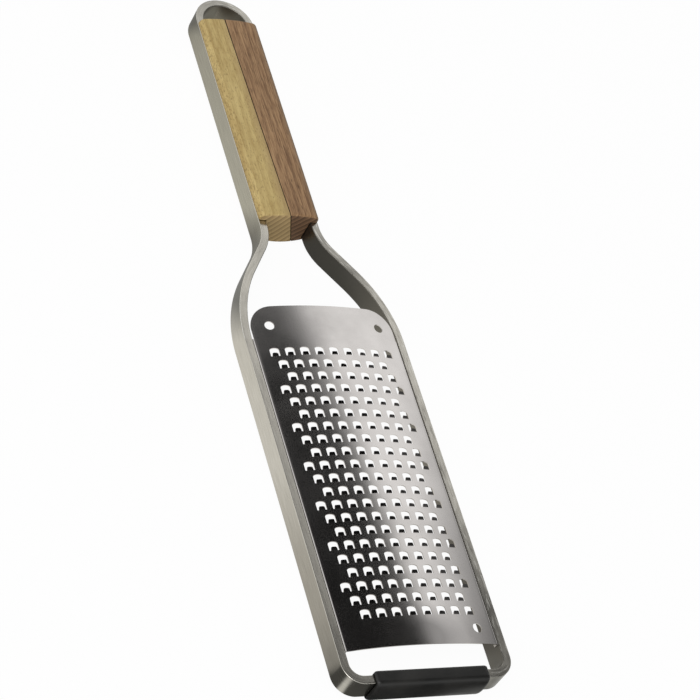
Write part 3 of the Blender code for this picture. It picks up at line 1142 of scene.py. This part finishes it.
@dataclass
class BladeSheet(Piece):
    """The arched sheet between the rails, with its long edges folded down and its rows of teeth.

    Insets and margins are given as (from the side, from the top, from the foot), and a tooth's lines as distances
    from its centre.
    """

    bar: Bar = field(default_factory=Bar)
    sheet: float = 0.00045
    arch_radius: float = 0.1640
    fold_inner: float = 0.00025
    flange: float = 0.0017
    edge_step: float = 0.0001
    weld_gap: float = 0.00005
    foot_gap: float = 0.00935
    top_reach: float = 0.0141
    corner: float = 0.0098
    hole_radius: float = 0.0019
    hole_inset: tuple = (0.00695, 0.0087, 0.0063)
    hole_shift: float = 0.0004
    pitch: float = 0.0060
    row_spacing: float = 0.00552
    row_shift: float = 0.3457
    row_cycle: int = 3
    grid_offset: float = 0.00022
    margins: tuple = (0.00565, 0.0203, 0.0120)
    opening: float = 0.00370
    crown: float = 0.00062
    corner_rounding: float = 0.00042
    above: float = 0.00148
    below: float = 0.00220
    leg_rounding: float = 0.00020
    root: float = 0.00245
    tip: float = 0.00222
    tip_corner: float = 0.00036
    # Where the point between a tip corner's two ends lies, as a share of the corner
    tip_easing: float = 0.3
    tongue: float = 0.00120
    tongue_middle: float = 0.45
    rise: float = 0.00028
    rise_shares: tuple = (0.40, 0.67, 0.91)
    setback: float = 0.00022
    crease: float = 0.00012
    strip: float = 0.0009
    corner_segments: int = 14
    opening_segments: int = 3
    hole_sides: int = 32
    fold_steps: int = 6
    # Depths of the punch and of the drill, in thicknesses of the sheet
    punch_depth: float = 3.0
    drill_depth: float = 4.0
    # How far in from the edge, and how steep, the faces are that the folds start from
    fold_reach: float = 0.0001
    fold_slope: float = 0.5
    smooth_angle: float = 28.0

    @property
    def fold(self) -> float:
        """Outer radius of the fold."""
        return self.fold_inner + self.sheet

    @property
    def half(self) -> float:
        """Half the blade's width."""
        return self.bar.body_width / 2 - self.bar.thickness - self.weld_gap

    @property
    def lean(self) -> float:
        """Slope of the arch where it meets the fold."""
        return math.asin((self.half - self.fold) / (self.arch_radius - self.fold))

    @property
    def crest(self) -> float:
        """Height of the arch's middle."""
        return self.bar.depth + self.edge_step + self.arch_radius * (1 - math.cos(self.lean))

    @property
    def flat_half(self) -> float:
        """Half the width of the arched part, laid flat."""
        return self.arch_radius * self.lean

    @property
    def foot(self) -> float:
        """Y of the blade's foot edge."""
        return self.bar.thickness + self.foot_gap

    @property
    def top(self) -> float:
        """Y of the blade's top edge."""
        return self.bar.rail_top + self.top_reach

    @property
    def root_line(self) -> float:
        """Y of the crease at a tongue's root, from the tooth's centre."""
        return self.leg_rounding - self.below

    @property
    def tip_line(self) -> float:
        """Y of a tongue's tip, from the tooth's centre."""
        return self.root_line + self.tongue

    @property
    def eased(self) -> float:
        """How far the point between a tip corner's two ends lies from the tip or the side."""
        return self.tip_easing * self.tip_corner

    def lifts(self) -> list:
        """Works out how far each line across a tongue is raised.

        Returns:
            Pairs of the line's Y, from the tooth's centre, and its lift.
        """
        lines = (
            self.root_line + self.tongue_middle * self.tongue,
            self.tip_line - self.tip_corner,
            self.tip_line - self.eased,
            self.tip_line,
        )
        return [(line, share * self.rise) for line, share in zip(lines, (*self.rise_shares, 1.0))]

    def teeth(self) -> list:
        """Spaces the teeth out on the flat sheet.

        Returns:
            Their centres, as (across, along).
        """
        side, top, foot = self.margins
        reach = self.flat_half + self.fold * (math.pi / 2 - self.lean) - side
        columns = int(reach / self.pitch)
        field_length = self.top - self.foot - top - foot
        centres = []
        for row in range(int(field_length / self.row_spacing) + 1):
            along = self.top - top - row * self.row_spacing
            for column in range(-columns, columns + 1):
                across = (column + row % self.row_cycle * self.row_shift) * self.pitch + self.grid_offset
                if abs(across) <= reach:
                    centres.append((across, along))
        return centres

    def holes(self) -> list:
        """Places the pilot holes on the flat sheet.

        Returns:
            Their centres, as (across, along).
        """
        side, top, foot = self.hole_inset
        across = self.flat_half - side
        places = [(-across, self.top - top), (across, self.top - top), (across, self.foot + foot)]
        return [(x + self.hole_shift, y) for x, y in places]

    def model_punch(self) -> bpy.types.Object:
        """Models a U-shaped punch for one tooth, standing through the sheet.

        Returns:
            The punch, round the tooth's centre at X = Y = 0.
        """
        half, root, tip = self.opening / 2, self.root / 2, self.tip / 2
        crown_line = self.above - self.crown
        punch = add_plane(
            "punch",
            (0, (self.tip_line + crown_line) / 2, self.sheet),
            (self.opening, crown_line - self.tip_line),
        )
        radius = (half**2 + self.crown**2) / (2 * self.crown)
        columns = [0, tip - self.tip_corner, tip - self.eased, root]
        columns += [-x for x in columns[1:]]
        slice_along(punch, [(x, 0, 0) for x in columns], (1, 0, 0))
        with editing(punch):
            for x in columns:
                lift = math.sqrt(radius**2 - x**2) - math.sqrt(radius**2 - half**2)
                self.nudge(x, crown_line, (0, lift, 0))
            pick(
                SelectMode.VERTEX,
                lambda place: close_to(abs(place.x), half) and close_to(place.y, crown_line),
            )
            round_corners(self.corner_rounding, self.opening_segments)
            pick(
                SelectMode.EDGE,
                lambda a, b: close_to(a.y, self.tip_line)
                and close_to(b.y, self.tip_line)
                and abs(a.x + b.x) / 2 > root,
            )
            bpy.ops.mesh.extrude_edges_move(
                TRANSFORM_OT_translate={"value": (0, -self.below - self.tip_line, 0)}
            )
            pick(SelectMode.VERTEX, lambda place: close_to(place.y, -self.below))
            round_corners(self.leg_rounding, self.opening_segments)
            for side in Side:
                sign = side.value
                self.nudge(sign * root, self.tip_line, (sign * (tip - root), -self.tip_corner, 0))
                self.nudge(sign * (tip - self.eased), self.tip_line, (0, -self.eased, 0))
            thicken((0, 0, -self.punch_depth * self.sheet))
        return punch

    @staticmethod
    def nudge(across: float, along: float, distance: tuple) -> None:
        """Moves the open mesh's vertex at a place by a distance."""
        pick(SelectMode.VERTEX, lambda place: close_to(place.x, across) and close_to(place.y, along))
        bpy.ops.transform.translate(value=distance)

    def model(self) -> bpy.types.Object:
        """Cuts, punches, arches and folds the sheet.

        Returns:
            The blade.
        """
        length = self.top - self.foot
        piece = add_plane("sheet", (0, self.foot + length / 2, 0), (2 * self.flat_half, length))
        with editing(piece):
            pick(SelectMode.VERTEX, lambda place: close_to(place.y, self.top))
            round_corners(self.corner, self.corner_segments)
        strips = math.ceil(2 * self.flat_half / self.strip)
        across = [-self.flat_half + 2 * self.flat_half * i / strips for i in range(1, strips)]
        slice_along(piece, [(x, 0, 0) for x in across], (1, 0, 0))
        rows = sorted({along for _, along in self.teeth()})
        lines = [self.root_line - self.crease, self.root_line] + [line for line, _ in self.lifts()[:2]]
        along = [row + line for row in rows for line in lines] + [self.bar.rail_top]
        slice_along(piece, [(0, y, 0) for y in along], (0, 1, 0))
        with editing(piece):
            thicken((0, 0, -self.sheet))
        punch = self.model_punch()
        punches = [copied(punch, Vector((x, y, 0))) for x, y in self.teeth()]
        scrap(punch)
        for x, y in self.holes():
            deselect_all()
            bpy.ops.mesh.primitive_cylinder_add(
                vertices=self.hole_sides,
                radius=self.hole_radius,
                depth=self.drill_depth * self.sheet,
                location=(x, y, 0),
            )
            punches.append(bpy.context.object)
        cut_away(piece, joined(punches, "punches"))
        self.raise_teeth(piece)
        self.arch(piece)
        self.fold_edges(piece)
        outward(piece)
        smooth(piece, self.smooth_angle)
        return piece

    def raise_teeth(self, piece: bpy.types.Object) -> None:
        """Lifts each tongue towards its tip, and grinds the tip's lower edge back to a cutting edge.

        Args:
            piece: The flat, punched sheet.
        """
        rows = {}
        for x, y in self.teeth():
            rows.setdefault(y, []).append(x)

        def on_tongue(place: Vector, line: float) -> bool:
            """Tells whether a point lies on a tongue, at a line across it.

            Args:
                place: The point.
                line: The line's Y, from the tooth's centre.

            Returns:
                Whether it does.
            """
            for y, across in rows.items():
                if close_to(place.y, y + line):
                    return any(abs(place.x - x) <= self.root / 2 + NEAR for x in across)
            return False

        with editing(piece):
            for line, lift in self.lifts():
                pick(SelectMode.VERTEX, lambda place: on_tongue(place, line))
                bpy.ops.transform.translate(value=(0, 0, lift))
            for line, lift in self.lifts()[1:]:
                pick(
                    SelectMode.VERTEX,
                    lambda place: on_tongue(place, line) and close_to(place.z, lift - self.sheet),
                )
                bpy.ops.transform.translate(value=(0, -self.setback * lift / self.rise, 0))

    def arch(self, piece: bpy.types.Object) -> None:
        """Bends the sheet across its width to the arch's radius.

        Args:
            piece: The flat sheet.
        """
        deselect_all()
        bpy.ops.object.empty_add(location=(0, 0, 0), rotation=(-math.pi / 2, 0, 0))
        axis = bpy.context.object
        bpy.context.view_layer.update()
        angle = 2 * self.flat_half / self.arch_radius
        modify(piece, "SIMPLE_DEFORM", deform_method="BEND", deform_axis="Z", origin=axis, angle=angle)
        scrap(axis)
        piece.location.z = self.crest
        settled(piece, "sheet")

    def fold_edges(self, piece: bpy.types.Object) -> None:
        """Folds the long edges down beside the rails and draws out their flanges.

        Args:
            piece: The arched sheet.
        """
        middle = self.crest - self.arch_radius
        spine = self.arch_radius - self.fold
        turn = math.pi / 2 - self.lean
        for side in Side:
            x = side.value * spine * math.sin(self.lean)
            z = middle + spine * math.cos(self.lean)
            with editing(piece):
                pick(
                    SelectMode.FACE,
                    lambda place, normal: place.x * side.value > self.half - self.fold - self.fold_reach
                    and abs(normal.z) < self.fold_slope
                    and abs(normal.y) < self.fold_slope
                    and place.y < self.bar.rail_top,
                )
                bpy.ops.mesh.spin(
                    steps=self.fold_steps,
                    dupli=False,
                    angle=-side.value * turn,
                    center=(x, 0, z),
                    axis=(0, 1, 0),
                )
                bpy.ops.mesh.extrude_region_move(TRANSFORM_OT_translate={"value": (0, 0, -self.flange)})


@dataclass
class WoodHandle:
    """Sizes of the handle that both halves are cut from."""

    bar: Bar = field(default_factory=Bar)
    foot_setback: float = 0.0017
    loop_setback: float = 0.0010
    front_lip: float = 0.0026
    front_crown: float = 0.0011
    corner: float = 0.00221
    back_lip: float = 0.0003
    back_crown: float = 0.0031
    back_inset: float = 0.0006
    end_rounding: float = 0.0012
    seam_gap: float = 0.0002
    seam_front: float = -0.0006
    seam_back: float = 0.0066
    seam_drift: float = -0.0019
    stations: int = 20
    corner_segments: int = 8
    end_steps: int = 5
    # Where the side wall is cut, as shares of the bar's depth, so that its back part can be drawn in
    wall_cuts: tuple = (0.4, 0.6)

    @property
    def half(self) -> float:
        """Half the handle's width."""
        return self.bar.handle_width / 2

    @property
    def foot_end(self) -> float:
        """Y of the end beside the blade."""
        return self.bar.neck_top + self.foot_setback

    @property
    def loop_end(self) -> float:
        """Y of the end beside the hanging loop."""
        return self.bar.loop_centre - self.loop_setback

    @property
    def front(self) -> float:
        """Height of the front lip's outer corner, before the crown."""
        return self.bar.depth + GAP + self.front_lip

    @property
    def back(self) -> float:
        """Height of the back lip's outer corner, before the crown."""
        return -GAP - self.back_lip


@dataclass
class HandleHalf(Piece):
    """One half of the wooden handle, up to the glue seam."""

    side: Side = Side.LEFT
    wood: WoodHandle = field(default_factory=WoodHandle)
    edge_width: float = 0.00014
    edge_segments: int = 2
    edge_angle: float = 32.0
    smooth_angle: float = 35.0
    # How squarely a face looks along the grain that counts as end grain
    end_facing: float = 0.75

    def model(self) -> bpy.types.Object:
        """Crowns, rounds and grooves a whole handle, and saws it along the seam.

        Returns:
            This side's half.
        """
        wood = self.wood
        start = wood.foot_end + wood.end_rounding
        length = wood.loop_end - wood.foot_end - 2 * wood.end_rounding
        piece = add_plane(
            "wood",
            (0, start, (wood.front + wood.back) / 2),
            (2 * wood.half, wood.front - wood.back),
            (math.pi / 2, 0, 0),
        )
        slice_along(piece, [(0, 0, share * wood.bar.depth) for share in wood.wall_cuts], (0, 0, 1))
        for side in Side:
            self.move_back_edge(piece, side.value * wood.half, -side.value * wood.back_inset)
        self.crown(piece)
        with editing(piece):
            pick(
                SelectMode.VERTEX,
                lambda place: close_to(abs(place.x), wood.half) and close_to(place.z, wood.front),
            )
            round_corners(wood.corner, wood.corner_segments)
            thicken((0, length, 0))
            for way in (-1, 1):
                pick(SelectMode.FACE, lambda middle, normal: normal.y * way > AXIAL)
                round_end(wood.end_rounding, wood.end_rounding, wood.end_steps)
        wall = wood.half - wood.bar.thickness - GAP
        for side in Side:
            near, far = sorted((side.value * wall, side.value * (wood.half + OVERRUN)))
            groove = add_block(
                "groove",
                (near, wood.foot_end - OVERRUN, -GAP),
                (far, wood.loop_end + OVERRUN, wood.bar.depth + GAP),
            )
            cut_away(piece, groove)
        self.saw(piece)
        modify(
            piece,
            "BEVEL",
            limit_method="ANGLE",
            angle_limit=math.radians(self.edge_angle),
            width=self.edge_width,
            segments=self.edge_segments,
            use_clamp_overlap=True,
        )
        outward(piece)
        self.mark_faces(piece)
        smooth(piece, self.smooth_angle)
        weigh_normals(piece)
        return piece

    def move_back_edge(self, piece: bpy.types.Object, across: float, distance: float) -> None:
        """Draws the back half of one side in, so that the back lip is narrower than the bar's loop.

        Args:
            piece: The handle's section.
            across: X of the side.
            distance: How far it is moved along X.
        """
        with editing(piece):
            pick(
                SelectMode.VERTEX,
                lambda place: close_to(place.x, across) and place.z < self.wood.bar.depth / 2,
            )
            bpy.ops.transform.translate(value=(distance, 0, 0))

    def crown(self, piece: bpy.types.Object) -> None:
        """Crowns the section's front and back edges.

        Args:
            piece: The handle's section.
        """
        wood = self.wood
        flat = wood.half - wood.corner
        across = [-flat + 2 * flat * i / wood.stations for i in range(1, wood.stations)]
        slice_along(piece, [(x, 0, 0) for x in across], (1, 0, 0))
        with editing(piece):
            for face, crown, half in (
                (wood.front, wood.front_crown, wood.half),
                (wood.back, -wood.back_crown, wood.half - wood.back_inset),
            ):
                radius = (half**2 + crown**2) / (2 * abs(crown))
                for x in across:
                    pick(
                        SelectMode.VERTEX,
                        lambda place: close_to(place.x, x) and close_to(place.z, face),
                    )
                    rise = math.sqrt(radius**2 - x**2) - math.sqrt(radius**2 - half**2)
                    bpy.ops.transform.translate(value=(0, 0, math.copysign(rise, crown)))

    def mark_faces(self, piece: bpy.types.Object) -> None:
        """Marks the faces that cut across the grain, and those along the glue seam.

        Args:
            piece: The half.
        """
        mesh = piece.data
        point, normal = self.seam_plane()
        ends, seam = [], []
        for polygon in mesh.polygons:
            ends.append(float(abs(polygon.normal.y) > self.end_facing))
            reach = max(abs((mesh.vertices[i].co - point).dot(normal)) for i in polygon.vertices)
            seam.append(float(reach < 2 * self.edge_width))
        set_mark(piece, Mark.END_GRAIN, ends)
        set_mark(piece, Mark.GLUE_LINE, seam)

    def seam_plane(self) -> tuple:
        """Works out this half's face of the glue seam.

        Returns:
            A point of it, and its normal towards the other half.
        """
        wood = self.wood
        gap = self.side.value * wood.seam_gap / 2
        front_z = wood.front + wood.front_crown
        back_z = wood.back - wood.back_crown
        foot_front = Vector((wood.seam_front + gap, wood.foot_end, front_z))
        foot_back = Vector((wood.seam_back + gap, wood.foot_end, back_z))
        loop_front = Vector((wood.seam_front + wood.seam_drift + gap, wood.loop_end, front_z))
        normal = (foot_back - foot_front).cross(loop_front - foot_front).normalized()
        if normal.x * self.side.value > 0:
            normal = -normal
        return foot_front, normal

    def saw(self, piece: bpy.types.Object) -> None:
        """Saws the handle along the slanted seam and keeps this side's half.

        Args:
            piece: The whole handle.
        """
        point, normal = self.seam_plane()
        with editing(piece):
            pick_everything()
            bpy.ops.mesh.bisect(
                plane_co=point, plane_no=normal, use_fill=True, clear_outer=True, clear_inner=False
            )


@dataclass
class RubberFoot(Piece):
    """The rubber sleeve round the cross bar, with a rounded outer wall."""

    bar: Bar = field(default_factory=Bar)
    end_setback: float = 0.0035
    inner_wall: float = 0.0008
    front_wall: float = 0.0010
    back_wall: float = 0.0009
    outer_wall: float = 0.0019
    round_from: float = 0.0004
    squareness: float = 2.5
    corner: float = 0.00081
    corner_segments: int = 5
    end_rounding: float = 0.0015
    end_draw_in: float = 0.00065
    end_steps: int = 6
    rows: int = 22
    smooth_angle: float = 35.0

    def model(self) -> bpy.types.Object:
        """Rounds a section's outer side, draws it out, rounds its ends and cuts the slot for the bar.

        Returns:
            The sleeve.
        """
        bar = self.bar
        half = bar.rail - bar.foot_radius - self.end_setback
        back = -GAP - self.back_wall
        front = bar.depth + GAP + self.front_wall
        inner = bar.thickness + GAP + self.inner_wall
        piece = add_plane(
            "foot",
            (-half + self.end_rounding, (self.round_from + inner) / 2, (front + back) / 2),
            (front - back, inner - self.round_from),
            (0, math.pi / 2, 0),
        )
        with editing(piece):
            pick(SelectMode.VERTEX, lambda place: close_to(place.y, inner))
            round_corners(self.corner, self.corner_segments)
            self.round_outer_side(back, front)
            thicken((2 * (half - self.end_rounding), 0, 0))
            for way in (-1, 1):
                pick(SelectMode.FACE, lambda middle, normal: normal.x * way > AXIAL)
                round_end(self.end_rounding, self.end_draw_in, self.end_steps)
        slot = add_block(
            "slot",
            (-half - OVERRUN, -GAP, -GAP),
            (half + OVERRUN, bar.thickness + GAP, bar.depth + GAP),
        )
        cut_away(piece, slot)
        outward(piece)
        smooth(piece, self.smooth_angle)
        weigh_normals(piece)
        return piece

    def round_outer_side(self, back: float, front: float) -> None:
        """Draws the section's outer edge out to a squarish half round.

        Args:
            back: Height of the sleeve's back face.
            front: Height of its front face.
        """
        start = self.round_from
        reach = start + GAP + self.outer_wall
        middle = (front + back) / 2
        tall = (front - back) / 2
        pick(SelectMode.EDGE, lambda a, b: close_to(a.y, start) and close_to(b.y, start))
        bpy.ops.mesh.subdivide(number_cuts=self.rows - 1)
        heights = [back + 2 * tall * i / self.rows for i in range(1, self.rows)]
        places = []
        for i in range(1, self.rows):
            turn = math.pi * (i / self.rows - 0.5)
            out = reach * math.cos(turn) ** (2 / self.squareness)
            up = math.copysign(tall * abs(math.sin(turn)) ** (2 / self.squareness), turn)
            places.append((start - out, middle + up))
        for height, (y, z) in zip(heights, places):
            pick(SelectMode.VERTEX, lambda place: close_to(place.y, start) and close_to(place.z, height))
            bpy.ops.transform.translate(value=(0, y - start, z - height))


# The studio


@dataclass
class Studio:
    """A pale floor, a soft light, bright walls with a dark patch overhead, and the camera.

    Angles are in degrees. A pair of places or angles says where a fade starts and ends.
    """

    floor_reach: float = 3.0
    floor_sides: int = 96
    floor_drop: float = 0.0001
    floor_tone: float = 0.85
    floor_glow: float = 0.96
    # The steel mirrors these shades of the floor, and the camera sees none of them. They were fitted to how
    # bright the steel is in the photograph: along Y, and by direction round the lower left corner.
    floor_span: float = 0.2
    floor_stops: tuple = (
        (-0.142, "#b7b5b0"), (-0.100, "#c8c6c1"), (-0.060, "#f3f2ef"),
        (-0.005, "#efeeea"), (0.015, "#8f908e"), (0.045, "#8e8d89"),
        (0.060, "#cecdc3"), (0.150, "#bcbbb2"), (0.158, "#8d8d8a"),
    )
    corner_place: tuple = (-0.0259, -0.1484)
    corner_fade: tuple = (-0.139, -0.142)
    corner_start: float = -60.0
    corner_stops: tuple = (
        (-28, "#b7b5b0"), (-14, "#5a5a58"), (28, "#5a5a58"), (38, "#fafaf8"),
        (50, "#fafaf8"), (60, "#5a5a58"), (161, "#4c4c4a"), (163, "#d2d2ce"),
    )
    wall: float = 1.0
    overhead: float = 0.36
    wall_fade: tuple = (46.0, 54.0)
    flag: float = 0.03
    flag_azimuth: float = 45.0
    flag_elevation: float = 68.0
    flag_fade: tuple = (17.2, 21.2)
    end_azimuth: float = -10.0
    end_fade: tuple = (34.0, 47.0)
    end_lift: tuple = (12.0, 24.0)
    end_level: float = 0.07
    lamp_size: float = 0.9
    lamp_power: float = 11.0
    lamp_place: tuple = (-0.7, -0.5, 1.5)
    camera_place: tuple = (-0.412225, -0.471684, 0.638552)
    camera_aim: tuple = (0.007092, -0.019639, 0.016)
    camera_roll: float = 34.683
    camera_lens: float = 120.975
    camera_sensor: float = 36.0
    camera_reach: float = 20.0

    def build(self) -> None:
        """Builds the floor, the world, the light and the camera."""
        self.lay_floor()
        self.light_world()
        self.hang_light()
        self.set_camera()
        bpy.context.scene.view_settings.view_transform = "Standard"

    def lay_floor(self) -> None:
        """Lays a round floor under the handle's back, white to the camera and keeping the object's shadow."""
        deselect_all()
        low, _ = CAD_BOX
        bpy.ops.mesh.primitive_circle_add(
            vertices=self.floor_sides,
            radius=self.floor_reach,
            fill_type="NGON",
            location=(0, 0, low.z - self.floor_drop),
        )
        floor = settled(bpy.context.object, "floor")
        material = bpy.data.materials.new("pale_matt_floor")
        material.use_nodes = True
        tree = material.node_tree
        tree.nodes.clear()
        seen, glossy, through = (
            add_node(tree, "LightPath", output=f"Is {ray} Ray") for ray in ("Camera", "Glossy", "Transmission")
        )
        mirrored = add_node(tree, "Math", (glossy, through), operation="MAXIMUM")
        share = add_node(tree, "Math", (seen, self.floor_glow, mirrored), operation="MULTIPLY_ADD")
        shades = {"Factor": seen, MIX_BELOW: self.floor_level(tree), MIX_ABOVE: grey(1.0)}
        shade = add_node(tree, "Mix", shades, MIX_RESULT, data_type="RGBA")
        matt = add_node(tree, "BsdfDiffuse", {"Color": grey(self.floor_tone)})
        glow = add_node(tree, "Emission", {"Color": shade, "Strength": 1.0})
        above = add_node(tree, "MixShader", (share, matt, glow))
        clear = add_node(tree, "BsdfTransparent")
        under = add_node(tree, "NewGeometry", output="Backfacing")
        surface = add_node(tree, "MixShader", (under, above, clear))
        feed(tree, tree.nodes.new("ShaderNodeOutputMaterial"), {"Surface": surface})
        floor.data.materials.append(material)

    def floor_level(self, tree: Tree) -> Socket:
        """Shades the floor for the steel: brightest beside the blade, dim beside the shoulders and the foot.

        Args:
            tree: The floor's node tree.

        Returns:
            The shade.
        """
        place = add_node(tree, "TexCoord", output="Object")
        y = add_node(tree, "SeparateXYZ", (place,), "Y")
        span = self.floor_span
        along = add_node(tree, "MapRange", (y, -span, span))
        stops = [((place_y + span) / (2 * span), linear(code)) for place_y, code in self.floor_stops]
        beside = add_node(tree, "ValToRGB", (along,), stops=stops)
        start = self.corner_start
        corner = {
            "Vector": place,
            "Location": (*self.corner_place, 0),
            "Rotation": (0, 0, math.radians(start)),
        }
        centred = add_node(tree, "Mapping", corner, vector_type="TEXTURE")
        turn = add_node(tree, "TexGradient", (centred,), "Fac", gradient_type="RADIAL")
        stops = [((angle - start) / 360, linear(code)) for angle, code in self.corner_stops]
        around = add_node(tree, "ValToRGB", (turn,), stops=stops)
        shades = {
            "Factor": add_node(tree, "MapRange", (y, *self.corner_fade)),
            MIX_BELOW: beside,
            MIX_ABOVE: around,
        }
        return add_node(tree, "Mix", shades, MIX_RESULT, data_type="RGBA")

    def light_world(self) -> None:
        """Makes the room that the steel reflects: bright walls, a greyer ceiling and a dark patch in it."""
        world = bpy.data.worlds.new("studio_room")
        bpy.context.scene.world = world
        world.use_nodes = True
        tree = world.node_tree
        tree.nodes.clear()
        way = add_node(tree, "TexCoord", output="Generated")
        height = add_node(tree, "SeparateXYZ", (way,), "Z")
        elevation = add_node(tree, "Math", (height,), operation="ARCSINE")
        fade = map(math.radians, self.wall_fade)
        room = add_node(
            tree, "MapRange", (elevation, *fade, self.wall, self.overhead), interpolation_type="SMOOTHSTEP"
        )
        azimuth = math.radians(self.flag_azimuth)
        tilt = math.radians(self.flag_elevation)
        middle = (math.cos(tilt) * math.cos(azimuth), math.cos(tilt) * math.sin(azimuth), math.sin(tilt))
        nearness = add_node(tree, "VectorMath", (way, middle), "Value", operation="DOT_PRODUCT")
        apart = add_node(tree, "Math", (nearness,), operation="ARCCOSINE")
        fade = map(math.radians, self.flag_fade)
        flag = add_node(
            tree, "MapRange", (apart, *fade, self.flag, 1.0), interpolation_type="SMOOTHSTEP"
        )
        strength = room
        for level in (flag, self.dark_end(tree, way, elevation)):
            strength = add_node(tree, "Math", (strength, level), operation="MULTIPLY")
        glow = add_node(tree, "Background", {"Color": grey(1.0), "Strength": strength})
        feed(tree, tree.nodes.new("ShaderNodeOutputWorld"), {"Surface": glow})

    def dark_end(self, tree: Tree, way: Socket, elevation: Socket) -> Socket:
        """Darkens the room's end beyond the blade's right-hand side, above its lowest strip of wall.

        Args:
            tree: The world's node tree.
            way: The direction that is looked in.
            elevation: Its height above the horizon, in radians.

        Returns:
            What the room's brightness is multiplied by.
        """
        x, y = (add_node(tree, "SeparateXYZ", (way,), axis) for axis in "XY")
        azimuth = add_node(tree, "Math", (y, x), operation="ARCTAN2")
        turned = add_node(tree, "Math", (azimuth, math.radians(-self.end_azimuth)), operation="ADD")
        apart = add_node(tree, "Math", (turned,), operation="ABSOLUTE")
        fade = map(math.radians, self.end_fade)
        unlit = add_node(
            tree, "MapRange", (apart, *fade, 1 - self.end_level, 0.0), interpolation_type="SMOOTHSTEP"
        )
        fade = map(math.radians, self.end_lift)
        raised = add_node(tree, "MapRange", (elevation, *fade), interpolation_type="SMOOTHSTEP")
        loss = add_node(tree, "Math", (unlit, raised), operation="MULTIPLY")
        return add_node(tree, "Math", (1.0, loss), operation="SUBTRACT")

    def hang_light(self) -> None:
        """Hangs one large soft light behind the camera."""
        lamp = bpy.data.lights.new("soft_box", "AREA")
        lamp.shape = "DISK"
        lamp.size = self.lamp_size
        lamp.energy = self.lamp_power
        light = bpy.data.objects.new("soft_box", lamp)
        bpy.context.scene.collection.objects.link(light)
        place = Vector(self.lamp_place)
        light.location = place
        light.rotation_euler = (-place).to_track_quat("-Z", "Y").to_euler()

    def set_camera(self) -> None:
        """Sets the camera at the photograph's angle, from a solved place, aim, roll and lens."""
        place = Vector(self.camera_place)
        lens = bpy.data.cameras.new("camera")
        lens.sensor_width = self.camera_sensor
        lens.lens = self.camera_lens
        lens.clip_end = self.camera_reach
        camera = bpy.data.objects.new("camera", lens)
        bpy.context.scene.collection.objects.link(camera)
        camera.location = place
        roll = Quaternion((0, 0, 1), math.radians(self.camera_roll))
        turn = (Vector(self.camera_aim) - place).to_track_quat("-Z", "Y") @ roll
        camera.rotation_euler = turn.to_euler()
        bpy.context.scene.camera = camera


def write_size() -> None:
    """Brings the view layer up to date."""
    bpy.context.view_layer.update()


def main() -> None:
    logging.basicConfig(level=logging.INFO, format="%(message)s")
    deselect_all()
    low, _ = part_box("frame")
    origin = Vector((0, low.y, low.z))
    light_wood = OiledWood()
    # Darker and coarser: the eye sees longer fibres and pores. The greyer band along the outer edge is a painted
    # sheen where the crown rolls away.
    dark_wood = OiledWood(
        name="oiled_dark_hardwood",
        pale="#a88661",
        deep="#73553b",
        pore="#3c281b",
        end="#7b5e44",
        end_pore="#3a291c",
        # Painted sheen: greyer where the crown rolls away at the outer edge
        band="#7d6c58",
        band_reach=(0.0095, 0.0128),
        fleck_and_shade_reach=(0.0300, 0.0400),
        ring_lean=-42.0,
        pores=(0.0004, 0.0040),
        pore_share=0.6,
        fibres=(0.0005, 0.0075),
        fibre_share=0.62,
    )
    pieces = [
        FrameBar("frame", "frame_bar", Slot.FRAME_STEEL, BrushedBarSteel()),
        BladeSheet("blade", "blade_sheet", Slot.BLADE_STEEL, RolledSheetSteel()),
        HandleHalf("handle_left", "handle_light", Slot.LIGHT_WOOD, light_wood, Side.LEFT),
        HandleHalf("handle_right", "handle_dark", Slot.DARK_WOOD, dark_wood, Side.RIGHT),
        RubberFoot("foot", "rubber_sleeve", Slot.RUBBER, MouldedRubber()),
    ]
    for piece in pieces:
        piece.build(origin)
    Studio().build()
    write_size()


if __name__ == "__main__":
    main()
